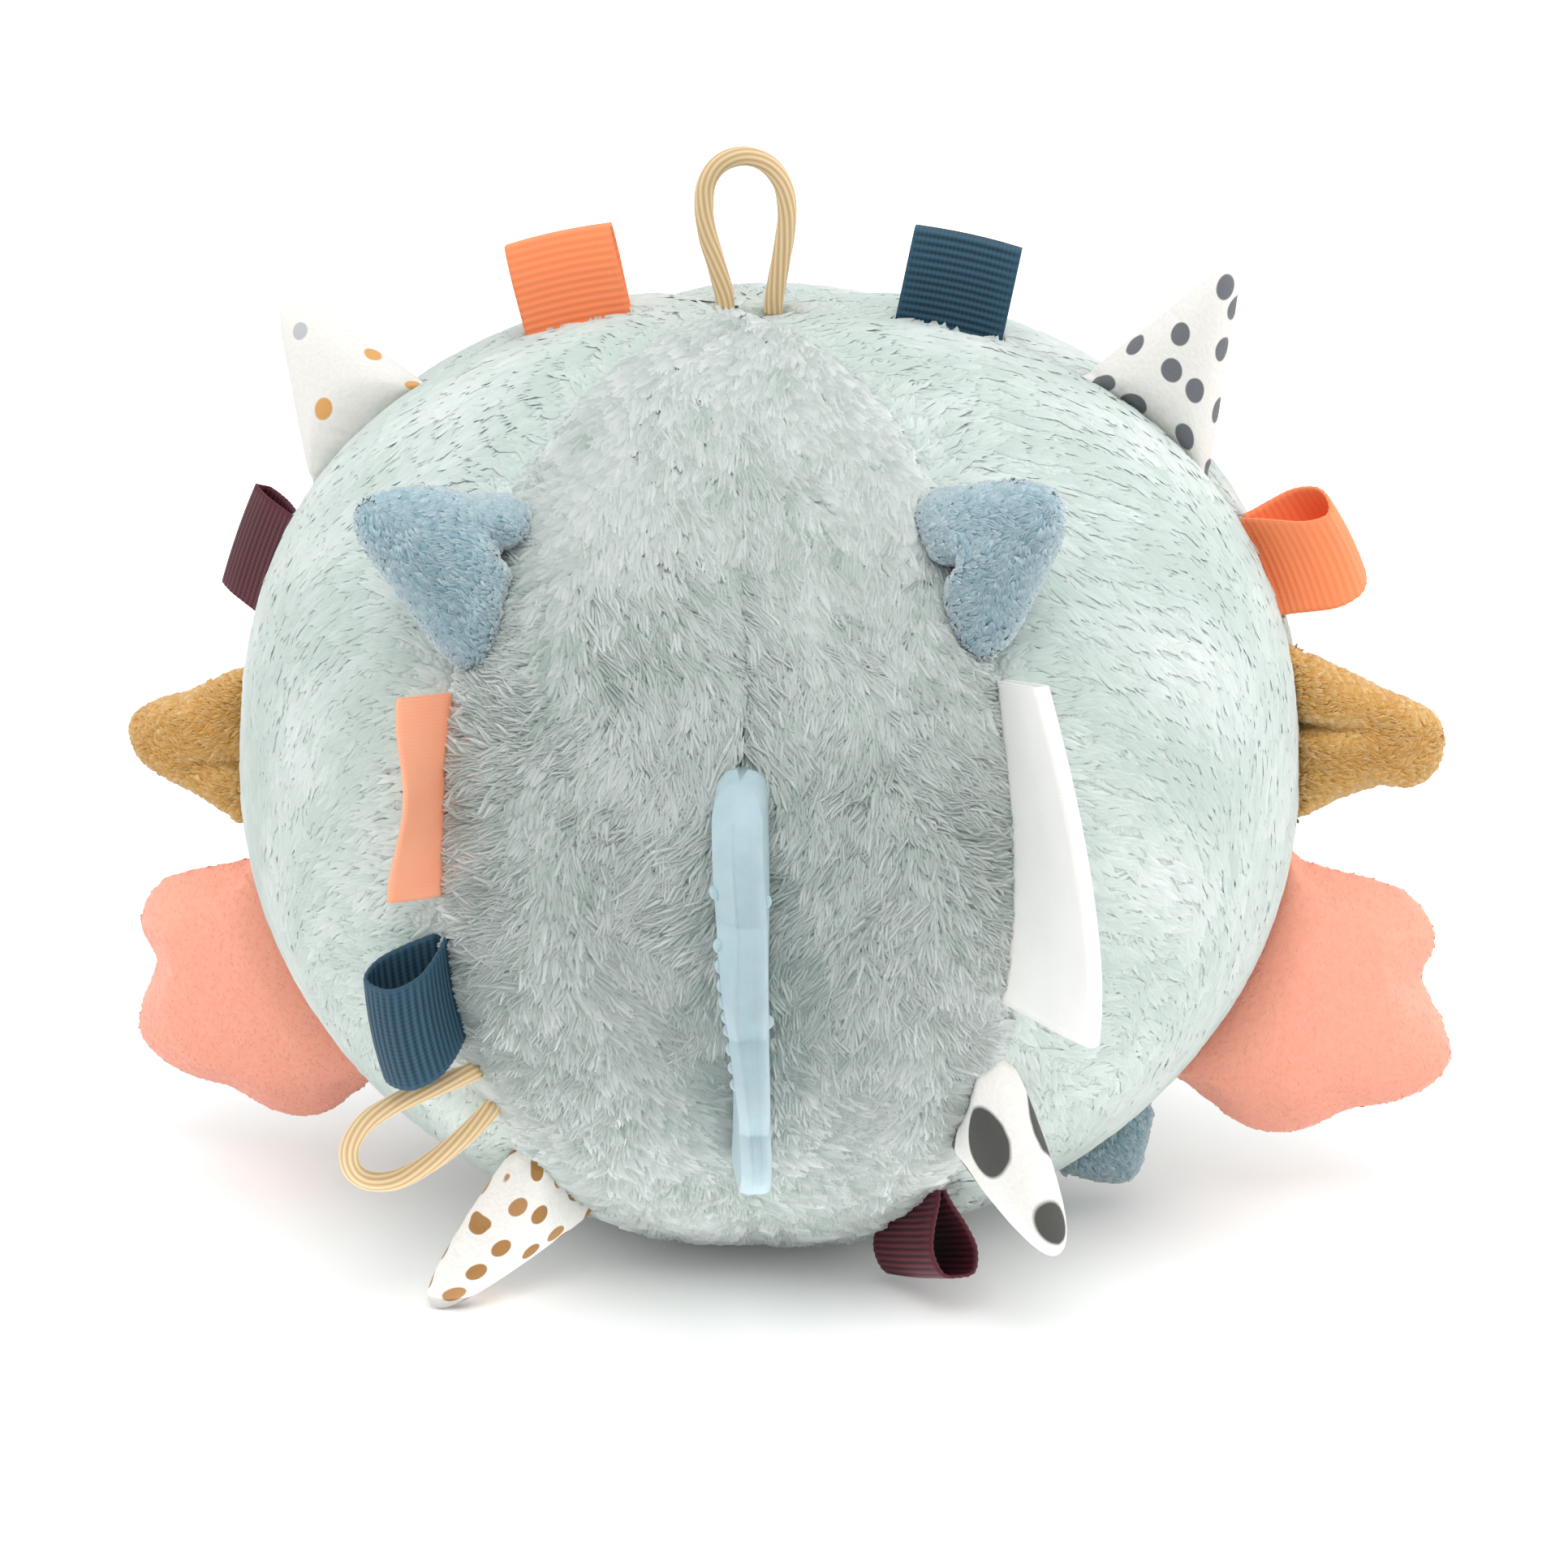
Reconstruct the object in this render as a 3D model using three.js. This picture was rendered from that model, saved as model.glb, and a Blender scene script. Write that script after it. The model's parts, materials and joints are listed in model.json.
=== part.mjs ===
// Activity ball: a plush ball sewn from gores and stuffed round a rattle.
// Soft pieces are sewn into its seams.
// Millimetres, +Z up. The ball stands on z = 0, and its back seam, which holds the teether, faces -Y.
import * as THREE from 'three';

// Ball
const ballRadius = 77.5; // at the widest line, to the outside of the cover
const ballHalfHeight = 69;
const restFlattening = 3; // how far the stuffed ball settles on its base
const upperSquareness = 2.4; // superellipse power of the profile above the widest line
const lowerSquareness = 2; // and below it
const coverThickness = 3; // plush with half of its pile
const seamGap = 0.3; // between two gores
const furrowDepth = 1.2; // how far a seam is drawn in
const furrowWidth = 9; // from the seam to where the gore is full
const furrowFade = 12; // height over which the furrows start above the base
const topPoleShift = -3.5; // the gores meet a little left of the top
const basePoleShift = -5; // and a little behind the middle of the base

// Filling and rattle
const fillGap = 0.3; // fill to cover, fill to rattle, and between the two wads
const rattleRadius = 18;
const rattleHeight = 22; // cup and lid together
const rattleWall = 1.6;
const rattleFitGap = 0.3; // lid plug in the cup, and lid on the rim
const lidPlugDepth = 3;
const beadRadius = 2.6;
const beadCircle = 8; // radius of the circle that the beads lie on
const beadCount = 4;
const beadGap = 0.3; // bead to the cup's floor

// Pieces sewn into the seams
const sewnLift = 0.6; // base of a sewn-in piece to the bottom of its seam
const neighbourGap = 2; // least distance between two pieces along a seam
const ribbonWidth = 16;
const ribbonReach = 15; // how far a folded ribbon stands out of its seam
const ribbonThickness = 0.6;
const ribbonPinch = 0.9; // distance between the two layers' middles in the seam
const flatLoopOpening = 3.6; // widest distance between the layers' middles in a pressed loop
const openLoopOpening = 9.5; // and in an open one
const spikeBase = 24; // printed cotton spikes
const spikeReach = 24;
const spikeThickness = 13;
const spikeTipRadius = 2.2;
const plushSpikeBase = 22; // mustard plush spikes
const plushSpikeReach = 22;
const plushSpikeThickness = 12;
const plushTipRadius = 4;
const earBase = 25; // blue plush ears
const earReach = 22.5;
const earThickness = 13;
const earTipRadius = 7;
const footBase = 13; // blue plush foot
const footReach = 12;
const footThickness = 10;
const finBase = 38; // coral fins
const finReach = 35.5;
const finThickness = 13;
const finLobeRadius = 20.5; // mean distance from the fin's middle to its lobed edge
const finLobeDepth = 2; // how far the lobes stand out of it and the notches draw in
const finLobeTurns = [30, 92, 166]; // where the lobes point, from the upper end of the base
const labelLength = 29; // orange label, along the seam
const labelReach = 11.5;
const labelThickness = 0.7;
const labelWave = 1.4;
const foldedLabelLength = 46; // white label, along the seam
const foldedLabelReach = 20;
const foldedLabelOpening = 2.2;
const teetherLength = 62; // along the seam
const teetherReach = 21;
const teetherThickness = 6.5;
const teetherEdgeRadius = 1.6;
const teetherFlangeReach = 4; // the thin sewn-in edge of the plate
const teetherFlangeThickness = 1.6;
const teetherScallops = 4;
const teetherScallopDepth = 2.4;
const elasticDiameter = 3;
const elasticLift = 0.9; // foot of an elastic loop to the bottom of its seam
const topLoopFeet = 7.5; // between the middles of the top elastic's feet
const sideLoopFeet = 6;

// Seams, in degrees round the ball from the back, +X side positive
const backCentreSeam = 2.5;
const leftBackSeam = -31;
const rightBackSeam = 31;
const leftSeam = -90;
const rightSeam = 90;

const degrees = Math.PI / 180;
const centreHeight = ballHalfHeight - restFlattening;
const up = new THREE.Vector3(0, 0, 1);

const colours = {
  sagePlush: 0xc0cbc7,
  bluePlush: 0x9fbac1,
  mustardPlush: 0xd3a05c,
  coralVelour: 0xf7a68d,
  whiteCotton: 0xf4f2ee,
  orangeRibbon: 0xfc8b60,
  navyRibbon: 0x3a5769,
  maroonRibbon: 0x5f3a42,
  whiteLabel: 0xe8e6e1,
  beigeElastic: 0xe0c6a1,
  blueSilicone: 0xc2d9de,
  whiteFibre: 0xf6f5f0,
  clearPlastic: 0xdfe3e4,
  beadPlastic: 0xd8b24a,
};

const ball = new THREE.Group();

function addPiece(name, geometry, colour, roughness) {
  const material = new THREE.MeshStandardMaterial({ color: colour, roughness, metalness: 0 });
  const mesh = new THREE.Mesh(geometry, material);
  mesh.name = name;
  ball.add(mesh);
  return mesh;
}

// Closed surfaces

function meshFrom(points, triangles) {
  const geometry = new THREE.BufferGeometry();
  const values = points.flatMap((point) => point.toArray());
  geometry.setAttribute('position', new THREE.Float32BufferAttribute(values, 3));
  geometry.setIndex(triangles.flat());
  return geometry;
}

// The skin between closed rings of equally many points, each ring facing the way that the rings go.
function skinTriangles(ringCount, size) {
  const triangles = [];
  for (let ring = 0; ring < ringCount - 1; ring++) {
    for (let i = 0; i < size; i++) {
      const a = ring * size + i;
      const b = ring * size + ((i + 1) % size);
      triangles.push([a, b, b + size], [a, b + size, a + size]);
    }
  }
  return triangles;
}

// A solid carried through rings whose point i faces point n - 1 - i, so that each end closes as a ladder.
function loftSolid(rings) {
  const size = rings[0].length;
  const last = (rings.length - 1) * size;
  const triangles = skinTriangles(rings.length, size);
  for (let i = 0; i < size / 2 - 1; i++) {
    const j = size - 1 - i;
    triangles.push([i, j, i + 1], [i + 1, j, j - 1]);
    triangles.push([last + i, last + i + 1, last + j], [last + i + 1, last + j - 1, last + j]);
  }
  return meshFrom(rings.flat(), triangles);
}

// A solid that closes to a point beyond its first and its last ring.
function pointedSolid(first, rings, last) {
  const size = rings[0].length;
  const points = [...rings.flat(), first, last];
  const firstIndex = points.length - 2;
  const lastIndex = points.length - 1;
  const lastRing = (rings.length - 1) * size;
  const triangles = skinTriangles(rings.length, size);
  for (let i = 0; i < size; i++) {
    const next = (i + 1) % size;
    triangles.push([firstIndex, next, i], [lastRing + i, lastRing + next, lastIndex]);
  }
  return meshFrom(points, triangles);
}

// Ball profile: a superellipse, flattened where it rests

function profilePoint(radius, halfHeight, polar) {
  const power = 2 / (polar < Math.PI / 2 ? upperSquareness : lowerSquareness);
  const across = Math.pow(Math.sin(polar), power);
  const upwards = Math.sign(Math.cos(polar)) * Math.pow(Math.abs(Math.cos(polar)), power);
  return new THREE.Vector2(radius * across, centreHeight + halfHeight * upwards);
}

function restingAngle(halfHeight, floorHeight) {
  const share = (centreHeight - floorHeight) / halfHeight;
  return Math.PI - Math.acos(Math.pow(share, lowerSquareness / 2));
}

// Rings from the resting edge to the top, each with its radius, height and outward normal.
function profileRings(inset, count) {
  const radius = ballRadius - inset;
  const halfHeight = ballHalfHeight - inset;
  const edge = restingAngle(halfHeight, inset);
  const topRing = 8 * degrees;
  const step = 0.001;
  const rings = [];
  for (let i = 0; i <= count; i++) {
    const polar = edge + ((topRing - edge) * i) / count;
    const point = profilePoint(radius, halfHeight, polar);
    const tangent = profilePoint(radius, halfHeight, polar - step).sub(point).normalize();
    rings.push({ radius: point.x, height: point.y, normal: new THREE.Vector2(tangent.y, -tangent.x) });
  }
  return rings;
}

// The point where the gores' meridians meet wanders off the axis towards the top and the base.
function meridianCentre(height) {
  const share = (height - centreHeight) / ballHalfHeight;
  const topShare = Math.pow(Math.max(share, 0), 2);
  const baseShare = Math.pow(Math.max(-share, 0), 2);
  return new THREE.Vector2(topPoleShift * topShare, basePoleShift * baseShare);
}

function goreDirection(angle) {
  return new THREE.Vector2(Math.sin(angle), -Math.cos(angle));
}

// Distance from the meridians' centre to the ring of that radius, in a gore's direction.
function distanceToRing(centre, direction, radius) {
  const along = centre.dot(direction);
  return -along + Math.sqrt(along * along + radius * radius - centre.lengthSq());
}

function furrowAt(distance, height) {
  const fade = Math.min(height / furrowFade, 1);
  return furrowDepth * fade * Math.pow(Math.max(1 - distance / furrowWidth, 0), 2);
}

function seamPoint(angle, ring) {
  const depth = furrowAt(0, ring.height);
  const height = ring.height - ring.normal.y * depth;
  const centre = meridianCentre(ring.height);
  const direction = goreDirection(angle);
  const reach = distanceToRing(centre, direction, ring.radius - ring.normal.x * depth);
  return new THREE.Vector3(centre.x + direction.x * reach, centre.y + direction.y * reach, height);
}

// Cover gores

const goreRings = 15;
const outerColumns = [0, 0.06, 0.16, 0.36, 0.64, 0.84, 0.94, 1];
const innerColumns = [0, 1 / 3, 2 / 3, 1];

// One face of a gore: columns of points from the base pole over the rings to the top pole.
function goreFace(from, to, inset, columns, depthAt) {
  const rings = profileRings(inset, goreRings);
  const half = (to - from) / 2;
  const middle = goreDirection(from + half);
  const apexReach = seamGap / 2 / Math.sin(half);
  const baseRing = rings[0];
  const down = new THREE.Vector2(0, -1);
  const flatRing = { radius: baseRing.radius / 2, height: inset, normal: down };
  const edgeRing = { radius: baseRing.radius, height: inset, normal: down };
  const rows = [flatRing, edgeRing, ...rings.slice(1)];
  const points = rows.map((ring) => {
    const centre = meridianCentre(ring.height);
    return columns.map((share) => {
      const nominal = distanceToRing(centre, goreDirection(from + 2 * half * share), ring.radius);
      const trim = Math.asin(seamGap / 2 / nominal);
      const angle = from + trim + (2 * half - 2 * trim) * share;
      const depth = depthAt(nominal * 2 * half * Math.min(share, 1 - share), ring.height);
      const direction = goreDirection(angle);
      const reach = distanceToRing(centre, direction, ring.radius - ring.normal.x * depth);
      const height = ring.height - ring.normal.y * depth;
      return new THREE.Vector3(centre.x + direction.x * reach, centre.y + direction.y * reach, height);
    });
  });
  const apexAt = (height, depth) => {
    const apex = meridianCentre(height).addScaledVector(middle, apexReach);
    return new THREE.Vector3(apex.x, apex.y, height - depth);
  };
  const top = centreHeight + ballHalfHeight - inset;
  return { points, base: apexAt(inset, 0), top: apexAt(top, depthAt(0, top)) };
}

// A gore is a shell between its outer and inner face, closed along its two seams.
function goreShell(from, to) {
  const outer = goreFace(from, to, 0, outerColumns, furrowAt);
  const inner = goreFace(from, to, coverThickness, innerColumns, () => 0);
  const rings = outer.points.map((row, i) => [...row, ...[...inner.points[i]].reverse()]);
  const size = rings[0].length;
  const points = [...rings.flat(), outer.base, inner.base, outer.top, inner.top];
  const [outerBase, innerBase, outerTop, innerTop] = [4, 3, 2, 1].map((back) => points.length - back);
  const triangles = skinTriangles(rings.length, size);
  const last = (rings.length - 1) * size;
  const outerEnd = outerColumns.length - 1;
  for (let i = 0; i < size; i++) {
    const next = (i + 1) % size;
    const onOuter = i < outerEnd;
    const onWall = i === outerEnd || i === size - 1;
    const base = onOuter ? outerBase : innerBase;
    const top = onOuter ? outerTop : innerTop;
    if (!onWall) {
      triangles.push([base, next, i], [last + i, last + next, top]);
      continue;
    }
    const [nearBase, farBase] = i === outerEnd ? [outerBase, innerBase] : [innerBase, outerBase];
    const [nearTop, farTop] = i === outerEnd ? [outerTop, innerTop] : [innerTop, outerTop];
    triangles.push([nearBase, next, i], [nearBase, farBase, next]);
    triangles.push([last + i, last + next, nearTop], [last + next, farTop, nearTop]);
  }
  return meshFrom(points, triangles);
}

const gores = [
  ['gore_back_left', leftBackSeam, backCentreSeam],
  ['gore_back_right', backCentreSeam, rightBackSeam],
  ['gore_right_rear', rightBackSeam, rightSeam],
  ['gore_right_front', rightSeam, 180 + leftBackSeam],
  ['gore_front', 180 + leftBackSeam, 180 + rightBackSeam],
  ['gore_left_front', 180 + rightBackSeam, 360 + leftSeam],
  ['gore_left_rear', 360 + leftSeam, 360 + leftBackSeam],
];
for (const [name, from, to] of gores) {
  addPiece(name, goreShell(from * degrees, to * degrees), colours.sagePlush, 0.95);
}

// Fibre fill: two wads of turned form, with a hollow for the rattle between them

const fillSegments = 18;
const columnTurn = Math.PI / fillSegments; // the fill's corners face the middles of the gores' inner facets
const pocketRadius = rattleRadius + fillGap;
const pocketHalfHeight = rattleHeight / 2 + fillGap;

function wadProfile(upper) {
  const facetLoss = Math.cos(Math.PI / fillSegments);
  const rings = profileRings(coverThickness + fillGap, goreRings).map(
    (ring) => new THREE.Vector2((ring.radius - fillGap) * facetLoss, ring.height),
  );
  const split = centreHeight + (upper ? fillGap / 2 : -fillGap / 2);
  const kept = rings.filter((point) => (upper ? point.y > split + 1 : point.y < split - 1));
  const facetRadius = (ballRadius - coverThickness - 2 * fillGap) * facetLoss;
  const rim = [new THREE.Vector2(facetRadius, split), new THREE.Vector2(pocketRadius, split)];
  const floor = centreHeight + (upper ? pocketHalfHeight : -pocketHalfHeight);
  const pocket = [new THREE.Vector2(pocketRadius, floor), new THREE.Vector2(0, floor)];
  if (!upper) return [new THREE.Vector2(0, kept[0].y), ...kept, ...rim, ...pocket];
  return [...pocket.reverse(), ...rim.reverse(), ...kept, new THREE.Vector2(0, kept[kept.length - 1].y)];
}

// Turns a profile about the ball's axis.
function turned(profile, segments) {
  return new THREE.LatheGeometry(profile, segments).rotateX(Math.PI / 2);
}

for (const [name, upper] of [['fibre_fill_lower', false], ['fibre_fill_upper', true]]) {
  addPiece(name, turned(wadProfile(upper), fillSegments).rotateZ(columnTurn), colours.whiteFibre, 1);
}

// Rattle: a cup with a push-in lid, and loose beads on the cup's floor

const rattleSegments = 24;
const cupBottom = centreHeight - rattleHeight / 2;
const cupRim = cupBottom + rattleHeight - rattleWall - rattleFitGap;
const cupInside = rattleRadius - rattleWall;
const cupProfile = [
  [0, cupBottom],
  [rattleRadius, cupBottom],
  [rattleRadius, cupRim],
  [cupInside, cupRim],
  [cupInside, cupBottom + rattleWall],
  [0, cupBottom + rattleWall],
];
const lidBottom = cupRim + rattleFitGap;
const lidTop = lidBottom + rattleWall;
const plugRadius = cupInside - rattleFitGap;
const lidProfile = [
  [0, lidBottom],
  [plugRadius - rattleWall, lidBottom],
  [plugRadius - rattleWall, lidBottom - lidPlugDepth],
  [plugRadius, lidBottom - lidPlugDepth],
  [plugRadius, lidBottom],
  [rattleRadius, lidBottom],
  [rattleRadius, lidTop],
  [0, lidTop],
];
for (const [name, profile] of [['rattle_cup', cupProfile], ['rattle_lid', lidProfile]]) {
  const points = profile.map(([radius, height]) => new THREE.Vector2(radius, height));
  addPiece(name, turned(points, rattleSegments), colours.clearPlastic, 0.35);
}
for (let i = 0; i < beadCount; i++) {
  const sphere = new THREE.SphereGeometry(beadRadius, 8, 6);
  const bead = addPiece(`rattle_bead_${i + 1}`, sphere, colours.beadPlastic, 0.3);
  const turn = (2 * Math.PI * (i + 0.5)) / beadCount;
  const height = cupBottom + rattleWall + beadGap + beadRadius;
  bead.position.set(beadCircle * Math.cos(turn), beadCircle * Math.sin(turn), height);
}

// Frames of the sewn-in pieces

// A seam as a curve along the bottom of its furrow, from the resting edge to the top pole.
function seamCurve(angle) {
  const points = profileRings(0, 40).map((ring) => seamPoint(angle, ring));
  const top = centreHeight + ballHalfHeight;
  const centre = meridianCentre(top);
  return new THREE.CatmullRomCurve3([...points, new THREE.Vector3(centre.x, centre.y, top - furrowDepth)]);
}

// Distance along a seam from its resting edge to a latitude of the ball.
function arcAtLatitude(curve, latitude) {
  const height = profilePoint(ballRadius, ballHalfHeight, (90 - latitude) * degrees).y;
  const divisions = 400;
  let share = 0;
  while (share < 1 && curve.getPointAt(share).z < height) share += 1 / divisions;
  return share * curve.getLength();
}

// A piece's frame on its seam: x runs up along the seam, y stands out, z goes sideways.
// The base follows the curve. Lean tips the outward direction up along the seam.
// Tilt turns the piece about its hinge line at rest.
// Twist is how much more its lower end is turned than its upper end.
function sewnFrame(curve, arc, { kind, lean = 0, tilt = 0, twist = 0 }) {
  const total = curve.getLength();
  const along = curve.getTangentAt(arc / total);
  const foot = curve.getPointAt(arc / total);
  const outward = new THREE.Vector3(foot.x, foot.y, 0).normalize();
  const normal = outward.addScaledVector(along, -outward.dot(along)).normalize();
  const side = along.clone().cross(normal);
  const direction = normal.clone().applyAxisAngle(side, -lean * degrees);
  const hinge = foot.clone().addScaledVector(normal, sewnLift);
  const place = (x, y, z) => {
    const share = Math.min(Math.max((arc + x) / total, 0), 1);
    const point = curve.getPointAt(share).addScaledVector(normal, sewnLift);
    point.addScaledVector(direction, y).addScaledVector(side, z);
    const turn = (tilt - (twist * x) / kind.length) * degrees;
    return point.sub(hinge).applyAxisAngle(along, turn).add(hinge);
  };
  return { place, hinge, along, side, direction, tilt };
}

// The forms of the sewn-in pieces, each taking the frame's place function

// Two panels sewn along an outline and stuffed: half thickness falls from the middle to the edge.
function stuffed(place, outline, middle, thickness, bend = () => 0) {
  const shares = [0.3, 0.55, 0.78, 0.92];
  const swell = (share) => (thickness / 2) * Math.pow(1 - share * share, 1.3);
  const ringAt = (share, face) =>
    outline.map(([x, y]) => {
      const px = middle[0] + (x - middle[0]) * share;
      const py = middle[1] + (y - middle[1]) * share;
      return place(px, py, face * swell(share) + bend(py));
    });
  const back = shares.map((share) => ringAt(share, -1));
  const front = shares.map((share) => ringAt(share, 1)).reverse();
  const centre = (face) => place(middle[0], middle[1], (face * thickness) / 2 + bend(middle[1]));
  return pointedSolid(centre(-1), [...back, ringAt(1, 0), ...front], centre(1));
}

// A triangle on its base with a rounded tip, going round from the base's lower end.
function spikeOutline(base, reach, tipRadius) {
  const baseSteps = 6;
  const sideSteps = 4;
  const tipSteps = 4;
  const half = base / 2;
  const slope = Math.atan2(reach - tipRadius, half);
  const tangent = [tipRadius * Math.sin(slope), reach - tipRadius + tipRadius * Math.cos(slope)];
  const points = [];
  for (let i = 0; i < baseSteps; i++) points.push([-half + (base * i) / baseSteps, 0]);
  for (let i = 0; i < sideSteps; i++) {
    const share = i / sideSteps;
    points.push([half + (tangent[0] - half) * share, tangent[1] * share]);
  }
  for (let i = 0; i <= tipSteps; i++) {
    const turn = Math.PI / 2 - slope + (i * 2 * slope) / tipSteps;
    points.push([tipRadius * Math.cos(turn), reach - tipRadius + tipRadius * Math.sin(turn)]);
  }
  for (let i = sideSteps - 1; i > 0; i--) {
    const [x, y] = points[baseSteps + i];
    points.push([-x, y]);
  }
  return points;
}

// A broad fin: straight up from its base, then three round lobes about its middle.
const finMiddle = [0, finReach - finLobeRadius - finLobeDepth];

// How many lobes lie before a turn about the fin's middle, counting on evenly between them.
// The fin stays full between its base and its upper lobe.
function lobesPassed(turn) {
  const [upper, outer, lower] = finLobeTurns;
  const fullness = -0.2;
  if (turn < outer) return Math.max((turn - upper) / (outer - upper), fullness);
  return 1 + (turn - outer) / (lower - outer);
}

function finOutline() {
  const points = [];
  const baseSteps = 8;
  for (let i = 0; i < baseSteps; i++) points.push([-finBase / 2 + (finBase * i) / baseSteps, 0]);
  points.push([finBase / 2, 0], [finBase / 2, finMiddle[1] / 2]);
  const steps = 24;
  for (let i = 0; i <= steps; i++) {
    const turn = (Math.PI * i) / steps;
    const lobe = Math.cos(2 * Math.PI * lobesPassed(turn / degrees));
    const radius = finLobeRadius + finLobeDepth * lobe;
    points.push([radius * Math.cos(turn), finMiddle[1] + radius * Math.sin(turn)]);
  }
  points.push([-finBase / 2, finMiddle[1] / 2]);
  return points;
}

// A strip carried along a path of [sideways, outward] points, as wide as the piece is long on its seam.
function strip(place, path, width, thickness, columns) {
  const curve = new THREE.SplineCurve(path.map((point) => new THREE.Vector2(...point)));
  const stations = 14;
  const xs = Array.from({ length: columns }, (_, i) => -width / 2 + (width * i) / (columns - 1));
  const rings = [];
  for (let i = 0; i <= stations; i++) {
    const point = curve.getPointAt(i / stations);
    const tangent = curve.getTangentAt(i / stations);
    const normal = new THREE.Vector2(tangent.y, -tangent.x).multiplyScalar(thickness / 2);
    const outer = xs.map((x) => place(x, point.y + normal.y, point.x + normal.x));
    const inner = xs.map((x) => place(x, point.y - normal.y, point.x - normal.x));
    rings.push([...outer, ...inner.reverse()]);
  }
  return loftSolid(rings);
}

// A ribbon folded in half: both ends in the seam, and a round bend at its reach.
function ribbonPath(reach, opening) {
  const pinch = ribbonPinch / 2;
  const wide = opening / 2;
  const bend = reach - ribbonThickness / 2;
  const half = [
    [pinch, 0],
    [pinch + 0.15 * wide, 0.14 * reach],
    [0.75 * wide, 0.42 * reach],
    [wide, 0.68 * reach],
    [0.72 * wide, bend - 0.1 * reach * Math.min(1, opening / reach)],
  ];
  return [...half, [0, bend], ...half.map(([sideways, outward]) => [-sideways, outward]).reverse()];
}

// A flat label whose free edge waves.
function label(place) {
  const stations = 12;
  const rings = [];
  for (let i = 0; i <= stations; i++) {
    const x = labelLength * (i / stations - 0.5);
    const wave = labelWave * Math.sin((2 * Math.PI * i) / stations);
    const half = labelThickness / 2;
    const middles = [[0, 0], [labelReach / 2, 0.4 * wave], [labelReach, wave]];
    const near = middles.map(([y, z]) => place(x, y, z - half));
    const far = middles.map(([y, z]) => place(x, y, z + half)).reverse();
    rings.push([...near, ...far]);
  }
  return loftSolid(rings);
}

// A moulded plate with a thin flange in the seam and a scalloped, rounded edge.
function teether(place) {
  const stations = 32;
  const thin = teetherFlangeThickness / 2;
  const thick = teetherThickness / 2;
  const rings = [];
  for (let i = 0; i <= stations; i++) {
    const share = i / stations;
    const x = teetherLength * (share - 0.5);
    const scallop = teetherScallopDepth * (1 - Math.abs(Math.sin(Math.PI * teetherScallops * share)));
    const body = teetherReach - teetherFlangeReach - 2 * teetherEdgeRadius;
    const crown = 0.55 + 0.45 * Math.pow(Math.sin(Math.PI * share), 0.5);
    const edge = teetherFlangeReach + 2 * teetherEdgeRadius + body * crown - scallop * crown;
    const half = [
      [0, thin],
      [teetherFlangeReach, thin],
      [teetherFlangeReach + teetherEdgeRadius / 2, thick],
      [edge - teetherEdgeRadius, thick],
      [edge, thick - teetherEdgeRadius],
    ];
    const near = half.map(([y, z]) => place(x, y, -z));
    const far = half.map(([y, z]) => place(x, y, z)).reverse();
    rings.push([...near, ...far]);
  }
  return loftSolid(rings);
}

// A round elastic cord bent into a loop, both feet in the seam.
function elasticLoop(frame, route) {
  const section = new THREE.Shape();
  const sides = 8;
  for (let i = 0; i < sides; i++) {
    const turn = (2 * Math.PI * i) / sides;
    const point = [(elasticDiameter / 2) * Math.cos(turn), (elasticDiameter / 2) * Math.sin(turn)];
    if (i === 0) section.moveTo(...point);
    else section.lineTo(...point);
  }
  const lift = elasticLift - sewnLift;
  const path = route.map(([x, y, z]) =>
    frame.hinge
      .clone()
      .addScaledVector(frame.along, x)
      .addScaledVector(frame.direction, y + lift)
      .addScaledVector(frame.side, z),
  );
  const extrudePath = new THREE.CatmullRomCurve3(path);
  return new THREE.ExtrudeGeometry(section, { steps: 22, bevelEnabled: false, extrudePath });
}

// Routes of the two elastic loops, as [along the seam, outward, sideways] from foot to foot.
const topLoopRoute = [
  [-topLoopFeet / 2, 0, 0],
  [-topLoopFeet / 2 - 0.2, 3, 0],
  [-4.8, 8, 0],
  [-5.8, 13, 0],
  [-6, 17, 0],
  [-4.4, 21.2, 0],
  [0, 23.3, 0],
  [4.4, 21.2, 0],
  [6, 17, 0],
  [5.8, 13, 0],
  [4.8, 8, 0],
  [topLoopFeet / 2 + 0.2, 3, 0],
  [topLoopFeet / 2, 0, 0],
];
const sideLoopRoute = [
  [-sideLoopFeet / 2, 0, 0],
  [-sideLoopFeet / 2 - 0.8, 3, -0.3],
  [-5.6, 8, -2.4],
  [-7, 13, -6],
  [-6.4, 17.2, -9.8],
  [-2.6, 19.4, -12],
  [1.8, 17.6, -11],
  [4.2, 13, -7.4],
  [4.6, 8, -3.4],
  [sideLoopFeet / 2 + 0.8, 3, -0.6],
  [sideLoopFeet / 2, 0, 0],
];

// Kinds of sewn-in pieces: length on the seam, swing to either side of straight out, and form

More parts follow.
